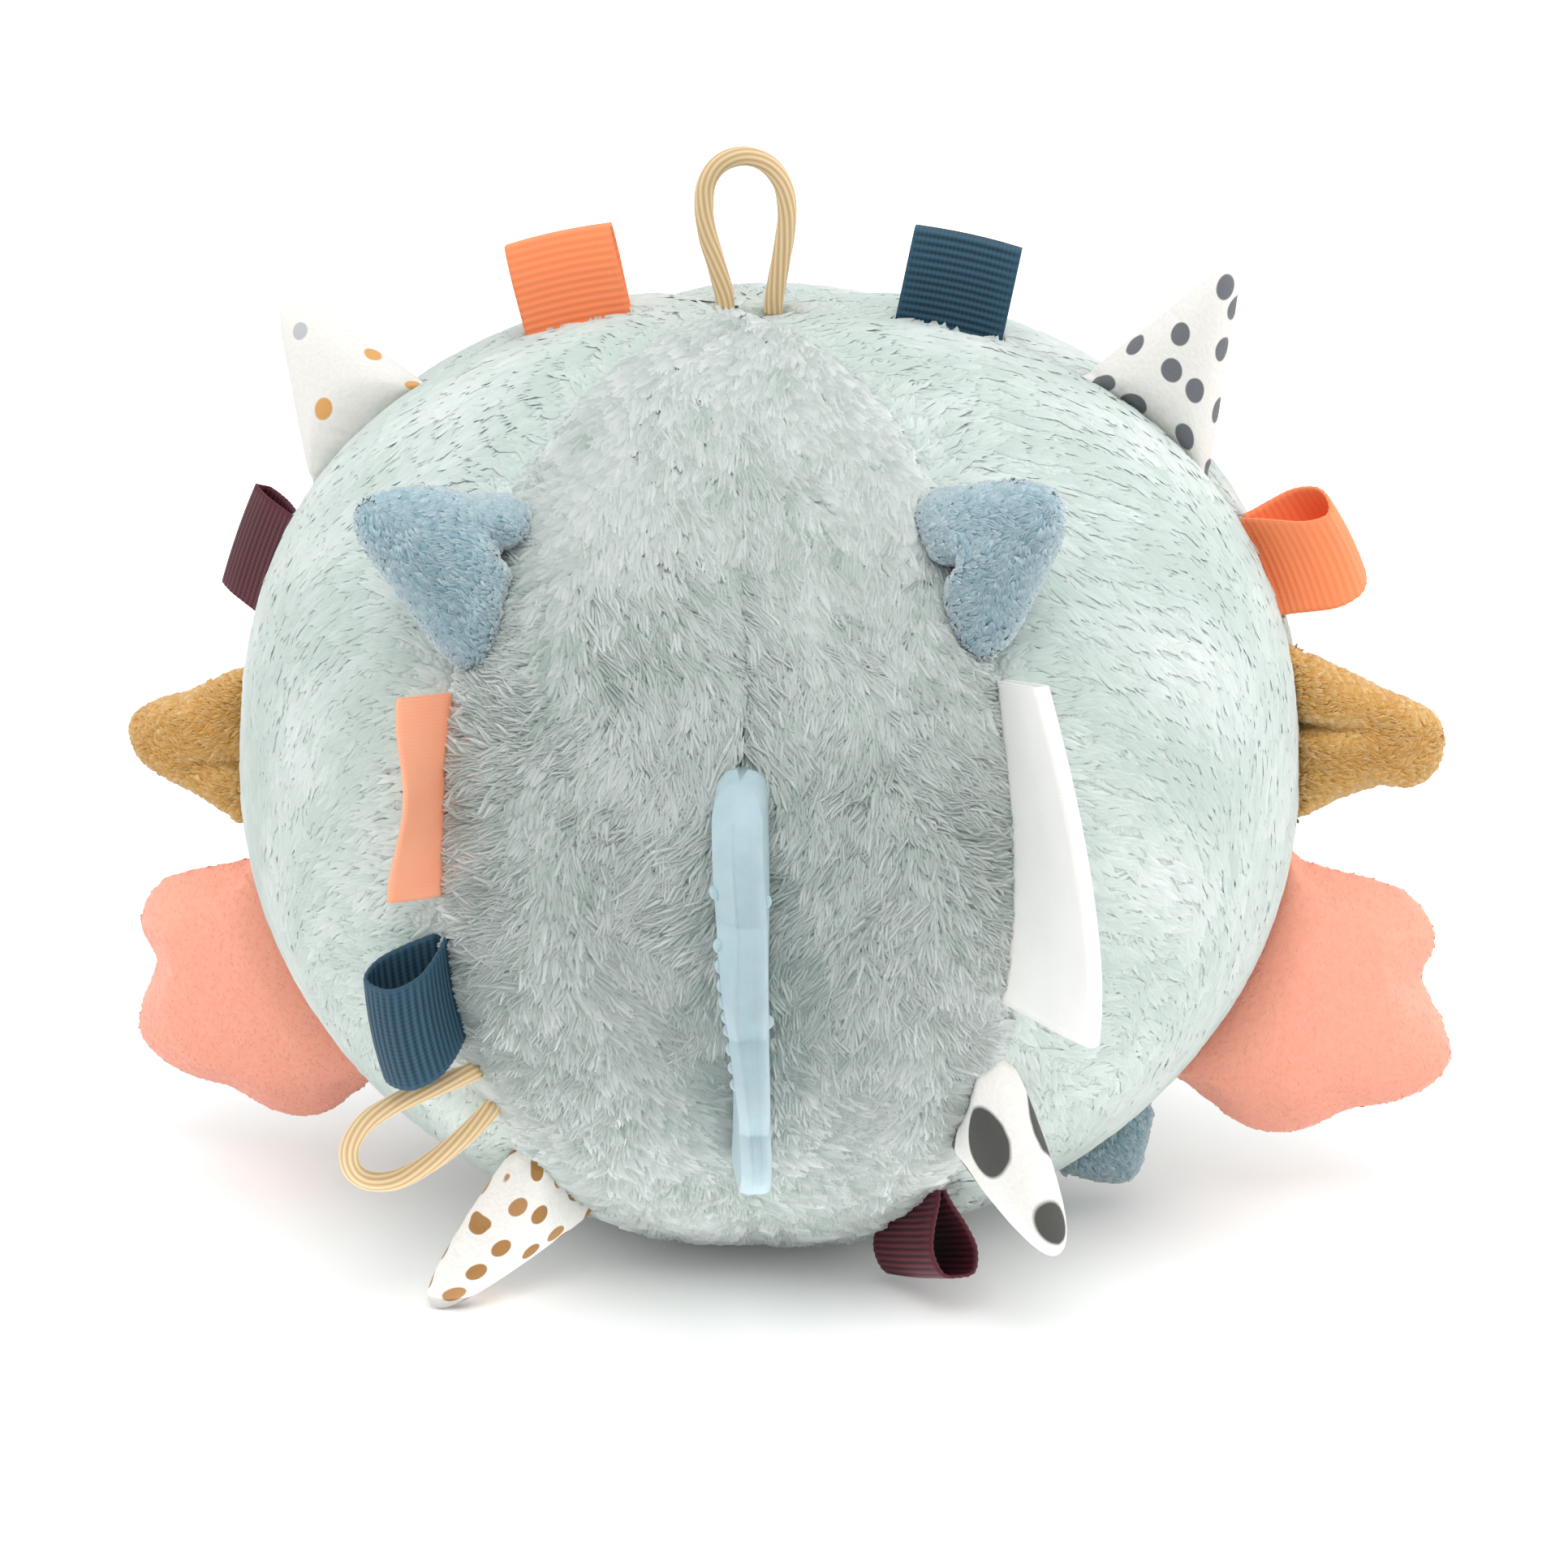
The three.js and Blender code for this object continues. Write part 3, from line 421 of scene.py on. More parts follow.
def make_pile(name, roots, normals, lay, sizes, tones, material, seed, blades):
    """Tufts of blades. sizes gives lay, rise, stand, spread and width in millimetres, and looseness.
    A blade lies along the flow like a narrow leaf: its edges follow the cloth, its ridge rises and dips to
    the tip, and where it stands, the ridge climbs on to the tip."""
    rng = np.random.default_rng(seed)
    count = len(roots) * blades
    across = unit(np.cross(lay, normals))
    of_tuft = np.repeat(np.arange(len(roots)), blades)
    normal, flow, wide = normals[of_tuft], lay[of_tuft], across[of_tuft]
    reach, rise, stand, spread, width, loose = (np.broadcast_to(size, len(roots))[of_tuft] for size in sizes)
    turn = rng.uniform(0, 2 * np.pi, count)
    off = spread * np.sqrt(rng.uniform(0, 1, count))
    offset = (off * np.cos(turn))[:, None] * flow + (off * np.sin(turn))[:, None] * wide
    scale = rng.uniform(0.75, 1.2, count)
    stray = rng.normal(0, 0.16, count)
    flow = unit(flow + stray[:, None] * wide)
    rows = BLADE_ROWS[None, :, None]
    out = (reach * scale)[:, None, None] * rows**1.2
    sway = rng.normal(0, 0.22, len(roots))[of_tuft][:, None] * BLADE_ROWS**2
    sway = sway + rng.normal(0, 0.06, len(roots))[of_tuft][:, None] * BLADE_KINKS
    scale = scale * rng.uniform(0.7, 1.3, len(roots))[of_tuft]
    line = roots[of_tuft][:, None] + offset[:, None] * (1 - 0.55 * rows**1.5)
    line = line + flow[:, None] * out + wide[:, None] * (sway * (reach * loose)[:, None])[..., None]
    up = rise[:, None] * RIDGE_HEIGHTS + stand[:, None] * BLADE_ROWS
    ridge = line + normal[:, None] * (scale[:, None] * up)[..., None]
    half = (width * scale)[:, None, None] / 2 * BLADE_WIDTHS[None, :, None] * wide[:, None]
    left, right = line - half, line + half
    first, second = ([left[:, k], ridge[:, k], right[:, k]] for k in (1, 2))
    points = np.stack([ridge[:, 0], *first, *second, ridge[:, 3]], 1)
    points[..., 2] = np.maximum(points[..., 2], 0.15)
    mixed = 0.2 * rng.normal(size=len(roots))[of_tuft] + 0.1 * rng.normal(size=count)
    tone = np.clip(tones[of_tuft] + loose * mixed, 0.02, 0.98)
    # The painted shade at roots and edges is weaker on tufts that are less loose
    along = 0.98 - 0.96 * (1 - BLADE_PAINTED_SHADE) * loose[:, None]
    uv = np.stack(np.broadcast_arrays(tone[:, None], along), -1).reshape(-1, 2)
    return make_piece(name, points.reshape(-1, 3), blade_faces(count), material, uv, closed=False)


def pile_material(name, root, dark, light, sheen):
    """Cut pile: u picks a tuft's tone and v runs from dark to light. The dark end, at the roots and along the
    blades' edges, is painted shade between the tufts, and the light end is the tip.
    """
    material, tree, shader = new_material(
        name, Roughness=0.8, Sheen_Weight=sheen, Sheen_Roughness=0.5, Specular_IOR_Level=0.2
    )
    spread = add_node(tree, "ShaderNodeUVMap", {}, uv_map="OFBake").outputs[0]
    parts = add_node(tree, "ShaderNodeSeparateXYZ", {"Vector": spread})
    lift = add_node(tree, "ShaderNodeMath", {0: parts.outputs["Y"], 1: 0.7}, operation="POWER").outputs[0]
    tones = {0: parts.outputs["X"], 6: linear(dark), 7: linear(light)}
    tip = add_node(tree, "ShaderNodeMix", tones, data_type="RGBA")
    tint = add_node(tree, "ShaderNodeMix", {0: lift, 6: linear(root), 7: tip.outputs[2]}, data_type="RGBA")
    give(tree, shader, {"Base Color": tint.outputs[2]})
    return material


# The sage pile's root colour is painted shade between the tufts
sage_pile = pile_material("cut_polyester_pile_sage", "#a9b8b1", "#bccac4", "#f3f8f6", 0.4)


def gore_tufts(start, end, count):
    """Even tuft places on a gore, with the directions down the ball and round it."""
    first, second = even_pairs(count)
    polar = np.linspace(np.radians(2.5), REST_ANGLE - 0.03, 800)
    radius, height = profile(polar)
    area = np.concatenate([[0], np.cumsum(np.hypot(np.diff(radius), np.diff(height)) * radius[1:])])
    polar = np.interp(first * area[-1], area, polar)
    theta = np.radians(start + (end - start) * (0.003 + 0.994 * second))
    place = skin(theta, polar, GROUND_DEPTH)
    down = unit(skin(theta, polar + 0.004, GROUND_DEPTH) - place)
    sideways = unit(skin(theta + 0.004, polar, GROUND_DEPTH) - place)
    return theta, polar, place, down, sideways


# The pile closes over the centre seam and parts along the others. It is rubbed off beside the teether and in
# the grooves under the ears. Round the base of a ribbon or an elastic loop it leans in as a collar
TEETHER_HEIGHTS = (29, 83)
GROOVE_HEIGHT = 94
JOINTS = {joint["child"]: joint for joint in frame["joints"] if "pos_m" in joint}
# Half of a base line and how high the pile stands up against it, in millimetres
COLLARS = {"ribbon": (8, 1.3), "elastic": (4, 0.25)}
OPEN_SEAMS = SEAM_ANGLES[np.degrees(SEAM_ANGLES).round(1) != BACK_SEAM]


def collar(place):
    """How near a place is to the base line of a ribbon or an elastic loop, 1 beside it and 0 from 4 mm away,
    the step from the place to that line, and how high the pile stands up against it."""
    near, stand, step = np.zeros(len(place)), np.zeros(len(place)), np.zeros(place.shape)
    for node, joint in JOINTS.items():
        half, height = COLLARS.get(node.split("_")[0], (0, 0))
        away = place - np.array(joint["pos_m"]) / MM
        axis = unit(np.array(joint["axis"]))
        along = np.clip(away @ axis, -half, half)
        inward = along[:, None] * axis - away
        close = (half > 0) * (1 - ramp(np.linalg.norm(inward, axis=1), 2, 4))
        step = np.where((close > near)[:, None], inward, step)
        stand = np.where(close > near, height * close, stand)
        near = np.maximum(near, close)
    return near, step, stand


def flow_turn(theta, place, gap, centre):
    """How far the pile's lay turns from straight down: out to the back seams, away from the open seams near
    the top and from the centre seam above the teether, and in swirls, wilder at the back and low down."""
    height = place[:, 2]
    angle = theta[:, None] - OPEN_SEAMS
    nearest = np.take_along_axis(angle, np.abs(np.sin(angle / 2)).argmin(1)[:, None], 1)[:, 0]
    parting = 50 * np.sign(np.sin(nearest)) * (1 - ramp(gap, 1.5, 6)) * ramp(height, 92, 104)
    degrees = (np.degrees(theta) + 180) % 360 - 180 - BACK_SEAM
    side = np.sign(degrees)
    out = 70 * ramp(np.abs(degrees), 15, 29) * (1 - ramp(np.abs(degrees), 34, 75))
    middle = 20 * side * (1 - ramp(centre, 0.5, 3)) * ramp(height, 84, 88) * (1 - ramp(height, 97, 101))
    wild = (1 - 0.6 * ramp(np.abs(degrees), 32, 55)) * (1.5 - 0.5 * ramp(height, 45, 85))
    swirl = 30 * waves(place, 46, 7, 11) + wild * (22 * waves(place, 14, 9, 12) + 18 * waves(place, 6, 9, 13))
    return np.radians(side * out + parting + middle + swirl)


# Rise, spread and width of a tuft in millimetres, its looseness, and the tone of the pile. The side gores'
# low tone is painted shade, which holds down their brightly lit upper parts
BACK_PILE = (1.25, 0.75, 0.68, 1.0, 0.74)
SIDE_PILE = (0.28, 0.95, 0.85, 0.35, 0.17)
PILE_LENGTH = 4.4
LOW_BACK_EXTRA = 1.6
SIDE_EXTRA = 0.4
for number, (node, (start, end)) in enumerate(GORES.items()):
    back = node.startswith("gore_back")
    tufts, blades = (BACK_TUFTS, BACK_BLADES) if back else (SIDE_TUFTS, SIDE_BLADES)
    rise, spread, width, loose, tone = BACK_PILE if back else SIDE_PILE
    theta, polar, place, down, sideways = gore_tufts(start, end, tufts)
    normal = unit(np.cross(sideways, down) * -1)
    gap = seam_distance(theta, profile(polar)[0], OPEN_SEAMS)
    centre = seam_distance(theta, profile(polar)[0], np.radians([BACK_SEAM]))
    height = place[:, 2]
    turn = flow_turn(theta, place, gap, centre)[:, None]
    lay = down * np.cos(turn) + sideways * np.sin(turn)
    full = (0.55 + 0.45 * ramp(gap, 0.5, 5)) * (0.45 + 0.55 * ramp(height, 1, 10))
    mood = 1 + 0.14 * waves(place, 9, 8, 21)
    extra = LOW_BACK_EXTRA - LOW_BACK_EXTRA * ramp(height, 45, 85) if back else SIDE_EXTRA
    reach = (PILE_LENGTH + extra) * full * mood
    near, step, stand = collar(place)
    inward = unit(step - normal * (step * normal).sum(1, keepdims=True))
    lay = unit(lay * (1 - near)[:, None] + inward * near[:, None])
    reach = np.where(near > 0, np.minimum(reach, np.linalg.norm(step, axis=1)), reach)
    even = np.ones(len(place))
    sizes = [reach, rise * full * (2 - mood), stand, spread * (1 - 0.6 * near), width * even, loose * even]
    tones = tone + 0.22 * waves(place, 24, 8, 31) + 0.2 * loose * waves(place, 8, 8, 32)
    groove = (np.abs(height - GROOVE_HEIGHT) < 3) & (gap < 1.6) & (np.abs(np.cos(theta)) > 0.8)
    beside = (centre < 2.2) & (height > TEETHER_HEIGHTS[0]) & (height < TEETHER_HEIGHTS[1])
    kept = (gap > 0.55 - 0.3 * near) & ~groove & ~beside
    cut = place[kept], normal[kept], lay[kept], np.stack(sizes)[:, kept], tones[kept]
    pile = make_pile(f"{node}_pile", *cut, sage_pile, 100 + number, blades)
    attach(pile, "ball")


# Elastic loops: 3 mm round elastic with a braided polyester sleeve, both ends caught in a seam.
# One stands on top where the gores meet, the other hangs out of the left back seam.
SEWN_LIFT = 0.6
ELASTIC_DIAMETER = 2.9
ELASTIC_LIFT = 0.3


def rotate(vectors, axis, angle):
    """Vectors turned about an axis by an angle, which may differ from vector to vector."""
    angle = np.asarray(angle)[..., None]
    cosine, sine = np.cos(angle), np.sin(angle)
    turned = vectors * cosine + np.cross(axis, vectors) * sine
    return turned + axis * (vectors @ axis)[..., None] * (1 - cosine)


def hinge_frame(node):
    """A sewn-in piece's hinge point, the seam's direction, straight out, and sideways."""
    hinge = np.array(JOINTS[node]["pos_m"]) / MM
    along = unit(np.array(JOINTS[node]["axis"]))
    if abs(along[2]) < 0.05:
        return hinge, along, np.array([0.0, 0.0, 1.0]), np.cross(along, [0.0, 0.0, 1.0])
    outward = unit(hinge * [1, 1, 0])
    normal = unit(outward - along * (outward @ along))
    return hinge, along, normal, np.cross(along, normal)


def curve_through(padded, share):
    """Points of a Catmull-Rom curve at shares counted in spans. Its first and last points only steer it."""
    piece = np.minimum(share.astype(int), len(padded) - 4)
    t = (share - piece)[:, None]
    a, b, c, d = (padded[piece + k] for k in range(4))
    return b + 0.5 * t * (c - a + t * (2 * a - 5 * b + 4 * c - d + t * (3 * (b - c) + d - a)))


def even_points(line, count, endpoint=True):
    """Equally spaced points along a line of many points, and the line's length."""
    run = np.concatenate([[0], np.cumsum(np.linalg.norm(np.diff(line, axis=0), axis=1))])
    even = np.linspace(0, run[-1], count, endpoint=endpoint)
    return np.stack([np.interp(even, run, line[:, k]) for k in range(line.shape[1])], 1), run[-1]


def smooth_path(points, count):
    """Equally spaced points on the smooth curve through some points, and its length."""
    points = np.asarray(points, float)
    padded = np.concatenate([[2 * points[0] - points[1]], points, [2 * points[-1] - points[-2]]])
    return even_points(curve_through(padded, np.linspace(0, len(points) - 1, 40 * len(points))), count)


# Woven polyester sleeve on rubber: matt, with lengthwise ribs about 1 mm apart, with a painted highlight on
# their crests and painted shade between them
elastic, tree, shader = new_material("braided_elastic", Roughness=0.75, Sheen_Weight=0.25)
spread = add_node(tree, "ShaderNodeUVMap", {}, uv_map="OFBake").outputs[0]
rib_light_and_shade = add_node(tree, "ShaderNodeSeparateXYZ", {"Vector": spread}).outputs["X"]
tones = {0: rib_light_and_shade, 6: linear("#b89868"), 7: linear("#ead0a7")}
tint = add_node(tree, "ShaderNodeMix", tones, data_type="RGBA")
give(tree, shader, {"Base Color": tint.outputs[2]})

top_route = [
    (-3.2, 0, 0), (-3.4, 3, 0), (-4.6, 7.6, 0), (-5.8, 11.8, 0), (-6.3, 15.6, 0), (-5.9, 19.4, 0),
    (-3.8, 22.3, 0), (-0.4, 23.4, 0), (3, 22.3, 0), (5.2, 19.4, 0), (5.9, 15.6, 0), (5.6, 11.8, 0),
    (4.9, 7.6, 0), (4.1, 3, 0), (3.8, 0, 0),
]
side_route = [
    (-3, 0, 0), (-3.4, 3, -0.3), (-4.3, 8, -2.4), (-5.3, 12.6, -5.8), (-5.3, 16.4, -9), (-3.3, 19, -11.4),
    (0, 19.9, -12.3), (3.5, 18.7, -11.7), (5.8, 15.8, -9.6), (6.3, 12, -6.6), (5.8, 8, -3.4),
    (4.4, 3, -0.6), (3, 0, 0),
]
ELASTIC_RIBS = 10
RIB_TWIST = 60.0
for node, route in (("elastic_loop_top", top_route), ("elastic_loop_back", side_route)):
    hinge, along, normal, sideways = hinge_frame(node)
    if node == "elastic_loop_top":
        sideways = np.array([0.0, -1.0, 0.0])
    local, length = smooth_path(route, 120)
    path = hinge + local[:, :1] * along + (local[:, 1:2] + ELASTIC_LIFT) * normal + local[:, 2:] * sideways
    tangent = unit(np.gradient(path, axis=0))
    flat = unit(np.cross(path[-1] - path[0], path[len(path) // 2] - path[0]))
    first = unit(np.cross(tangent, flat))
    second = np.cross(tangent, first)
    turn = np.linspace(0, 2 * np.pi, 60, endpoint=False)[None, :]
    run = np.linspace(0, length, len(path))[:, None] * 2 * np.pi / RIB_TWIST
    rib = np.cos(ELASTIC_RIBS * (turn + run))
    radius = ELASTIC_DIAMETER / 2 * (0.96 + 0.04 * rib)
    ring = first[:, None] * np.cos(turn)[..., None] + second[:, None] * np.sin(turn)[..., None]
    tube = path[:, None] + ring * radius[..., None]
    points = np.concatenate([tube.reshape(-1, 3), path[[0, -1]]])
    # The ribs' height also sets the colour: painted highlight on the crests, painted shade between them
    uv = np.stack([0.5 + 0.45 * rib, 0.5 + 0 * rib], -1).reshape(-1, 2)
    uv = np.concatenate([uv, [[0.5, 0.5]] * 2])
    loop = make_piece(f"{node}_cord", points, tube_faces(*tube.shape[:2]), elastic, uv)
    sew(loop, node)


# Ribbon loops: 16 mm grosgrain, cut to about 34 mm, folded once and caught in a seam by both ends.
# Its ribs run across the ribbon, so they lie along the fold and stack up towards it.
RIBBON_WIDTH = 16.0
RIBBON_REACH = 15.0
RIBBON_THICKNESS = 0.6
RIBBON_PINCH = 0.9
RIB_PITCH = 1.15
RIB_HEIGHT = 0.1
RIBBON_SHEET = 40.0
WARP_PITCH = 0.625


def seam_line(angle):
    """Points up along the bottom of a seam's furrow, with their distances from the resting edge."""
    polar = np.linspace(REST_ANGLE, np.radians(8), 400)
    line = skin(np.full(400, np.radians(angle)), polar, 0.0)
    pole = [TOP_POLE_SHIFT, 0, CENTRE_HEIGHT + BALL_HALF_HEIGHT - FURROW_DEPTH]
    line = np.concatenate([line, [pole]])
    return line, np.concatenate([[0], np.cumsum(np.linalg.norm(np.diff(line, axis=0), axis=1))])


def sewn_place(node, seam, skew=0.0, lean=0.0, fan=0.0, turn=0.0, tilt=0.0, twist=0.0, length=1.0):
    """The place of a sewn-in piece's own points: x up along the seam, y out of it, z sideways.
    Skew turns it flat in its own plane. Lean tips it up the seam, and fan tips its ends apart. Turn swings
    its free end about straight out. Tilt turns it about its hinge, and twist turns its lower end further."""
    hinge, along, normal, sideways = hinge_frame(node)
    line, arcs = seam_line(seam)
    middle = arcs[np.argmin(np.linalg.norm(line + normal * SEWN_LIFT - hinge, axis=1))]

    def place(x, y, z):
        x, y, z = np.broadcast_arrays(x, y, z)
        askew = np.radians(skew)
        x, y = x * np.cos(askew) - y * np.sin(askew), np.maximum(y * np.cos(askew) + x * np.sin(askew), 0)
        swing = np.radians(turn) * np.clip(y / RIBBON_REACH, 0, 1)
        x, z = x * np.cos(swing) - z * np.sin(swing), z * np.cos(swing) + x * np.sin(swing)
        direction = rotate(normal, sideways, np.radians(-lean - fan * x / length))
        base = np.stack([np.interp(middle + x, arcs, line[:, k]) for k in range(3)], -1)
        points = base + normal * SEWN_LIFT + direction * y[..., None] + sideways * z[..., None]
        return hinge + rotate(points - hinge, along, np.radians(tilt - twist * x / length))

    return place


def folded_path(reach, opening, count):
    """The middle line of a folded ribbon, sideways and outwards: pinched in the seam, round at the fold."""
    pinch, wide = RIBBON_PINCH / 2, opening / 2
    bend = reach - RIBBON_THICKNESS / 2
    half = np.array([
        [pinch, 0],
        [pinch + 0.15 * wide, 0.14 * reach],
        [0.75 * wide, 0.42 * reach],
        [wide, 0.68 * reach],
        [0.72 * wide, bend - 0.1 * reach * min(1, opening / reach)],
    ])
    return smooth_path(np.concatenate([half, [[0, bend]], half[::-1] * [-1, 1]]), count)


def strip_piece(name, place, path, across, thickness, material, uv):
    """A strip whose two faces stand off its middle line by half of its thickness at each point."""
    tangent = unit(np.gradient(path, axis=0))
    out = np.stack([tangent[:, 1], -tangent[:, 0]], 1)
    layers = []
    for face in (0.5, -0.5):
        side = path[:, :1] + face * thickness * out[:, :1]
        reach = path[:, 1:] + face * thickness * out[:, 1:]
        layers.append(place(across[None, :], reach, side))
    points = np.concatenate([layer.reshape(-1, 3) for layer in layers])
    return make_piece(name, points, shell_faces(len(path), len(across)), material, np.tile(uv, (2, 1)))


def grosgrain(name, groove, rib):
    """Grosgrain, woven polyester: round weft ribs under a soft gloss, with a painted highlight on their tops
    and painted shade between them.
    u is the height on the rib and v runs across the ribbon, with warp threads about 0.6 mm apart."""
    material, tree, shader = new_material(name, Roughness=0.65, Specular_IOR_Level=0.25)
    spread = add_node(tree, "ShaderNodeUVMap", {}, uv_map="OFBake").outputs[0]
    parts = add_node(tree, "ShaderNodeSeparateXYZ", {"Vector": spread}).outputs
    turns = {0: parts["Y"], 1: 2 * np.pi * RIBBON_SHEET / WARP_PITCH}
    warp = add_node(tree, "ShaderNodeMath", turns, operation="MULTIPLY").outputs[0]
    thread = add_node(tree, "ShaderNodeMath", {0: warp}, operation="SINE").outputs[0]
    rise = {0: thread, 1: 0.1, 2: parts["X"]}
    height = add_node(tree, "ShaderNodeMath", rise, operation="MULTIPLY_ADD").outputs[0]
    tint = add_node(tree, "ShaderNodeMix", {0: height, 6: linear(groove), 7: linear(rib)}, data_type="RGBA")
    give(tree, shader, {"Base Color": tint.outputs[2]})
    return material


grosgrains = {
    "orange": grosgrain("grosgrain_orange", "#ff8a58", "#ff9767"),
    "navy": grosgrain("grosgrain_navy", "#0f2936", "#385b70"),
    "maroon": grosgrain("grosgrain_maroon", "#230a0f", "#5f2832"),
}
# Each ribbon's seam, how wide its fold stands open in millimetres, and how it hangs in degrees
ribbons = [
    ("ribbon_orange_top", LEFT_SEAM, 3.6, {}),
    ("ribbon_navy_top", RIGHT_SEAM, 3.6, {}),
    ("ribbon_maroon_left", LEFT_SEAM, 3.6, {"tilt": -55}),
    ("ribbon_orange_right", RIGHT_SEAM, 9.5, {"lean": -4, "turn": -30}),
    ("ribbon_navy_back", LEFT_BACK_SEAM, 9.5, {"lean": -12, "tilt": -15}),
    ("ribbon_maroon_base", RIGHT_BACK_SEAM, 7.0, {"skew": 25, "lean": 21, "tilt": 3}),
]
across = RIBBON_WIDTH / 2 * np.array([-1, -0.9, -0.6, -0.3, 0, 0.3, 0.6, 0.9, 1])
selvedge = np.abs(across / (RIBBON_WIDTH / 2)) ** 12
for node, seam, opening, pose in ribbons:
    colour = node.split("_")[1]
    beside = "gore_left_rear" if seam < 0 else "gore_right_rear"
    place = sewn_place(node, seam, **pose)
    path, length = folded_path(RIBBON_REACH, opening, 220)
    run = np.linspace(0, length, len(path))[:, None]
    rib = 0.5 + 0.5 * np.cos(2 * np.pi * run / RIB_PITCH)
    thickness = RIBBON_THICKNESS - 2 * RIB_HEIGHT + 2 * RIB_HEIGHT * rib
    # The rib's height sets the colour, as a painted highlight on the rib tops and painted shade in the
    # grooves, and the selvedges keep one light tone
    shade = 0.06 + 0.88 * (rib + (0.8 - rib) * selvedge)
    uv = np.stack(np.broadcast_arrays(shade, 0.5 + across / RIBBON_SHEET), -1).reshape(-1, 2)
    ribbon = strip_piece(f"{node}_ribbon", place, path, across, thickness, grosgrains[colour], uv)
    sew(ribbon, node)


# Labels: satin tape, left bare. The orange one is a single layer with a wavy free edge.
# The white one is folded in half, sewn in by both ends, and twists open towards its lower end.
LABEL_LENGTH = 29.0
LABEL_REACH = 11.5
LABEL_THICKNESS = 0.7
LABEL_WAVE = 1.4
FOLDED_LABEL_LENGTH = 46.0
FOLDED_LABEL_REACH = 20.0
FOLDED_LABEL_OPENING = 2.2
LABEL_SHEET = 60.0
SATIN_PITCH = 0.5
SATIN_CLOUD = 20 / 3


def satin(name, dark, light):
    """Satin tape, woven polyester: a smooth face with a broad soft gloss, a fine thread line every 0.5 mm
    and clouds of tone about 7 mm across."""
    material, tree, shader = new_material(name, Roughness=0.48, Sheen_Weight=0.1, Specular_IOR_Level=0.4)
    spread = add_node(tree, "ShaderNodeUVMap", {}, uv_map="OFBake").outputs[0]
    parts = add_node(tree, "ShaderNodeSeparateXYZ", {"Vector": spread}).outputs
    turns = {0: parts["X"], 1: 2 * np.pi * LABEL_SHEET / SATIN_PITCH}
    line = add_node(tree, "ShaderNodeMath", turns, operation="MULTIPLY").outputs[0]
    thread = add_node(tree, "ShaderNodeMath", {0: line}, operation="SINE").outputs[0]
    noise = {"Vector": spread, "Scale": LABEL_SHEET / SATIN_CLOUD, "Detail": 4.0}
    cloud = add_node(tree, "ShaderNodeTexNoise", noise).outputs[0]
    mixed = {0: thread, 1: 0.12, 2: cloud}
    share = add_node(tree, "ShaderNodeMath", mixed, operation="MULTIPLY_ADD").outputs[0]
    tint = add_node(tree, "ShaderNodeMix", {0: share, 6: linear(dark), 7: linear(light)}, data_type="RGBA")
    give(tree, shader, {"Base Color": tint.outputs[2]})
    return material


orange_satin = satin("satin_tape_orange", "#fea079", "#ffb793")
white_satin = satin("satin_tape_white", "#f2f0ec", "#fcfbf8")

place = sewn_place("label_orange", LEFT_BACK_SEAM)
reach = np.linspace(0, LABEL_REACH, 24)[:, None]
across = np.linspace(-LABEL_LENGTH / 2, LABEL_LENGTH / 2, 60)[None, :]
wave = LABEL_WAVE * np.cos(2 * np.pi * across / LABEL_LENGTH) * (reach / LABEL_REACH) ** 1.3
layers = [place(across, reach, wave + side * LABEL_THICKNESS / 2) for side in (1, -1)]
points = np.concatenate([layer.reshape(-1, 3) for layer in layers])
uv = np.stack(np.broadcast_arrays(0.5 + across / LABEL_SHEET, 0.1 + reach / LABEL_SHEET), -1).reshape(-1, 2)
label = make_piece("label_orange_tape", points, shell_faces(24, 60), orange_satin, np.tile(uv, (2, 1)))
sew(label, "label_orange")

place = sewn_place(
    "label_white", RIGHT_BACK_SEAM, lean=-1, fan=18, tilt=2, twist=24, length=FOLDED_LABEL_LENGTH
)
path, length = folded_path(FOLDED_LABEL_REACH, FOLDED_LABEL_OPENING, 60)
across = np.linspace(-FOLDED_LABEL_LENGTH / 2, FOLDED_LABEL_LENGTH / 2, 40)
run = np.linspace(0, length, len(path))[:, None]
uv = np.stack(np.broadcast_arrays(0.5 + across / LABEL_SHEET, 0.05 + run / LABEL_SHEET), -1).reshape(-1, 2)
label = strip_piece("label_white_tape", place, path, across, RIBBON_THICKNESS, white_satin, uv)
sew(label, "label_white")


# Cotton spikes: two triangles of printed cotton jersey, sewn, turned and lightly stuffed.
# The print is plain scattered dots, in a size and colour of its own on each spike.
SPIKE_REACH = 24.0
SPIKE_THICKNESS = 13.0
SPIKE_OUTLINE = [
    (-11.2, 0.2), (0, 0), (11.2, 0.2), (11.4, 2.2), (3.2, 20.8), (0, 24), (-3.2, 20.8), (-11.4, 2.2),
]
JERSEY_KNIT = 0.6
PANEL = 50.0
POCKET_SLACK = 0.72
HELD_REACH = 0.8
STUFFING_SCALE = 20.0
STUFFING_FRAMES = 20
STUFFING_CAP = np.array([0.6, 0.6, 3.0])


def round_outline(points, count):
    """Equally spaced points on the smooth closed curve through some points."""
    points = np.asarray(points, float)
    share = np.linspace(0, len(points), 30 * len(points), endpoint=False)
    dense = curve_through(np.concatenate([points[-1:], points, points[:2]]), share)
    return even_points(np.concatenate([dense, dense[:1]]), count, endpoint=False)[0]


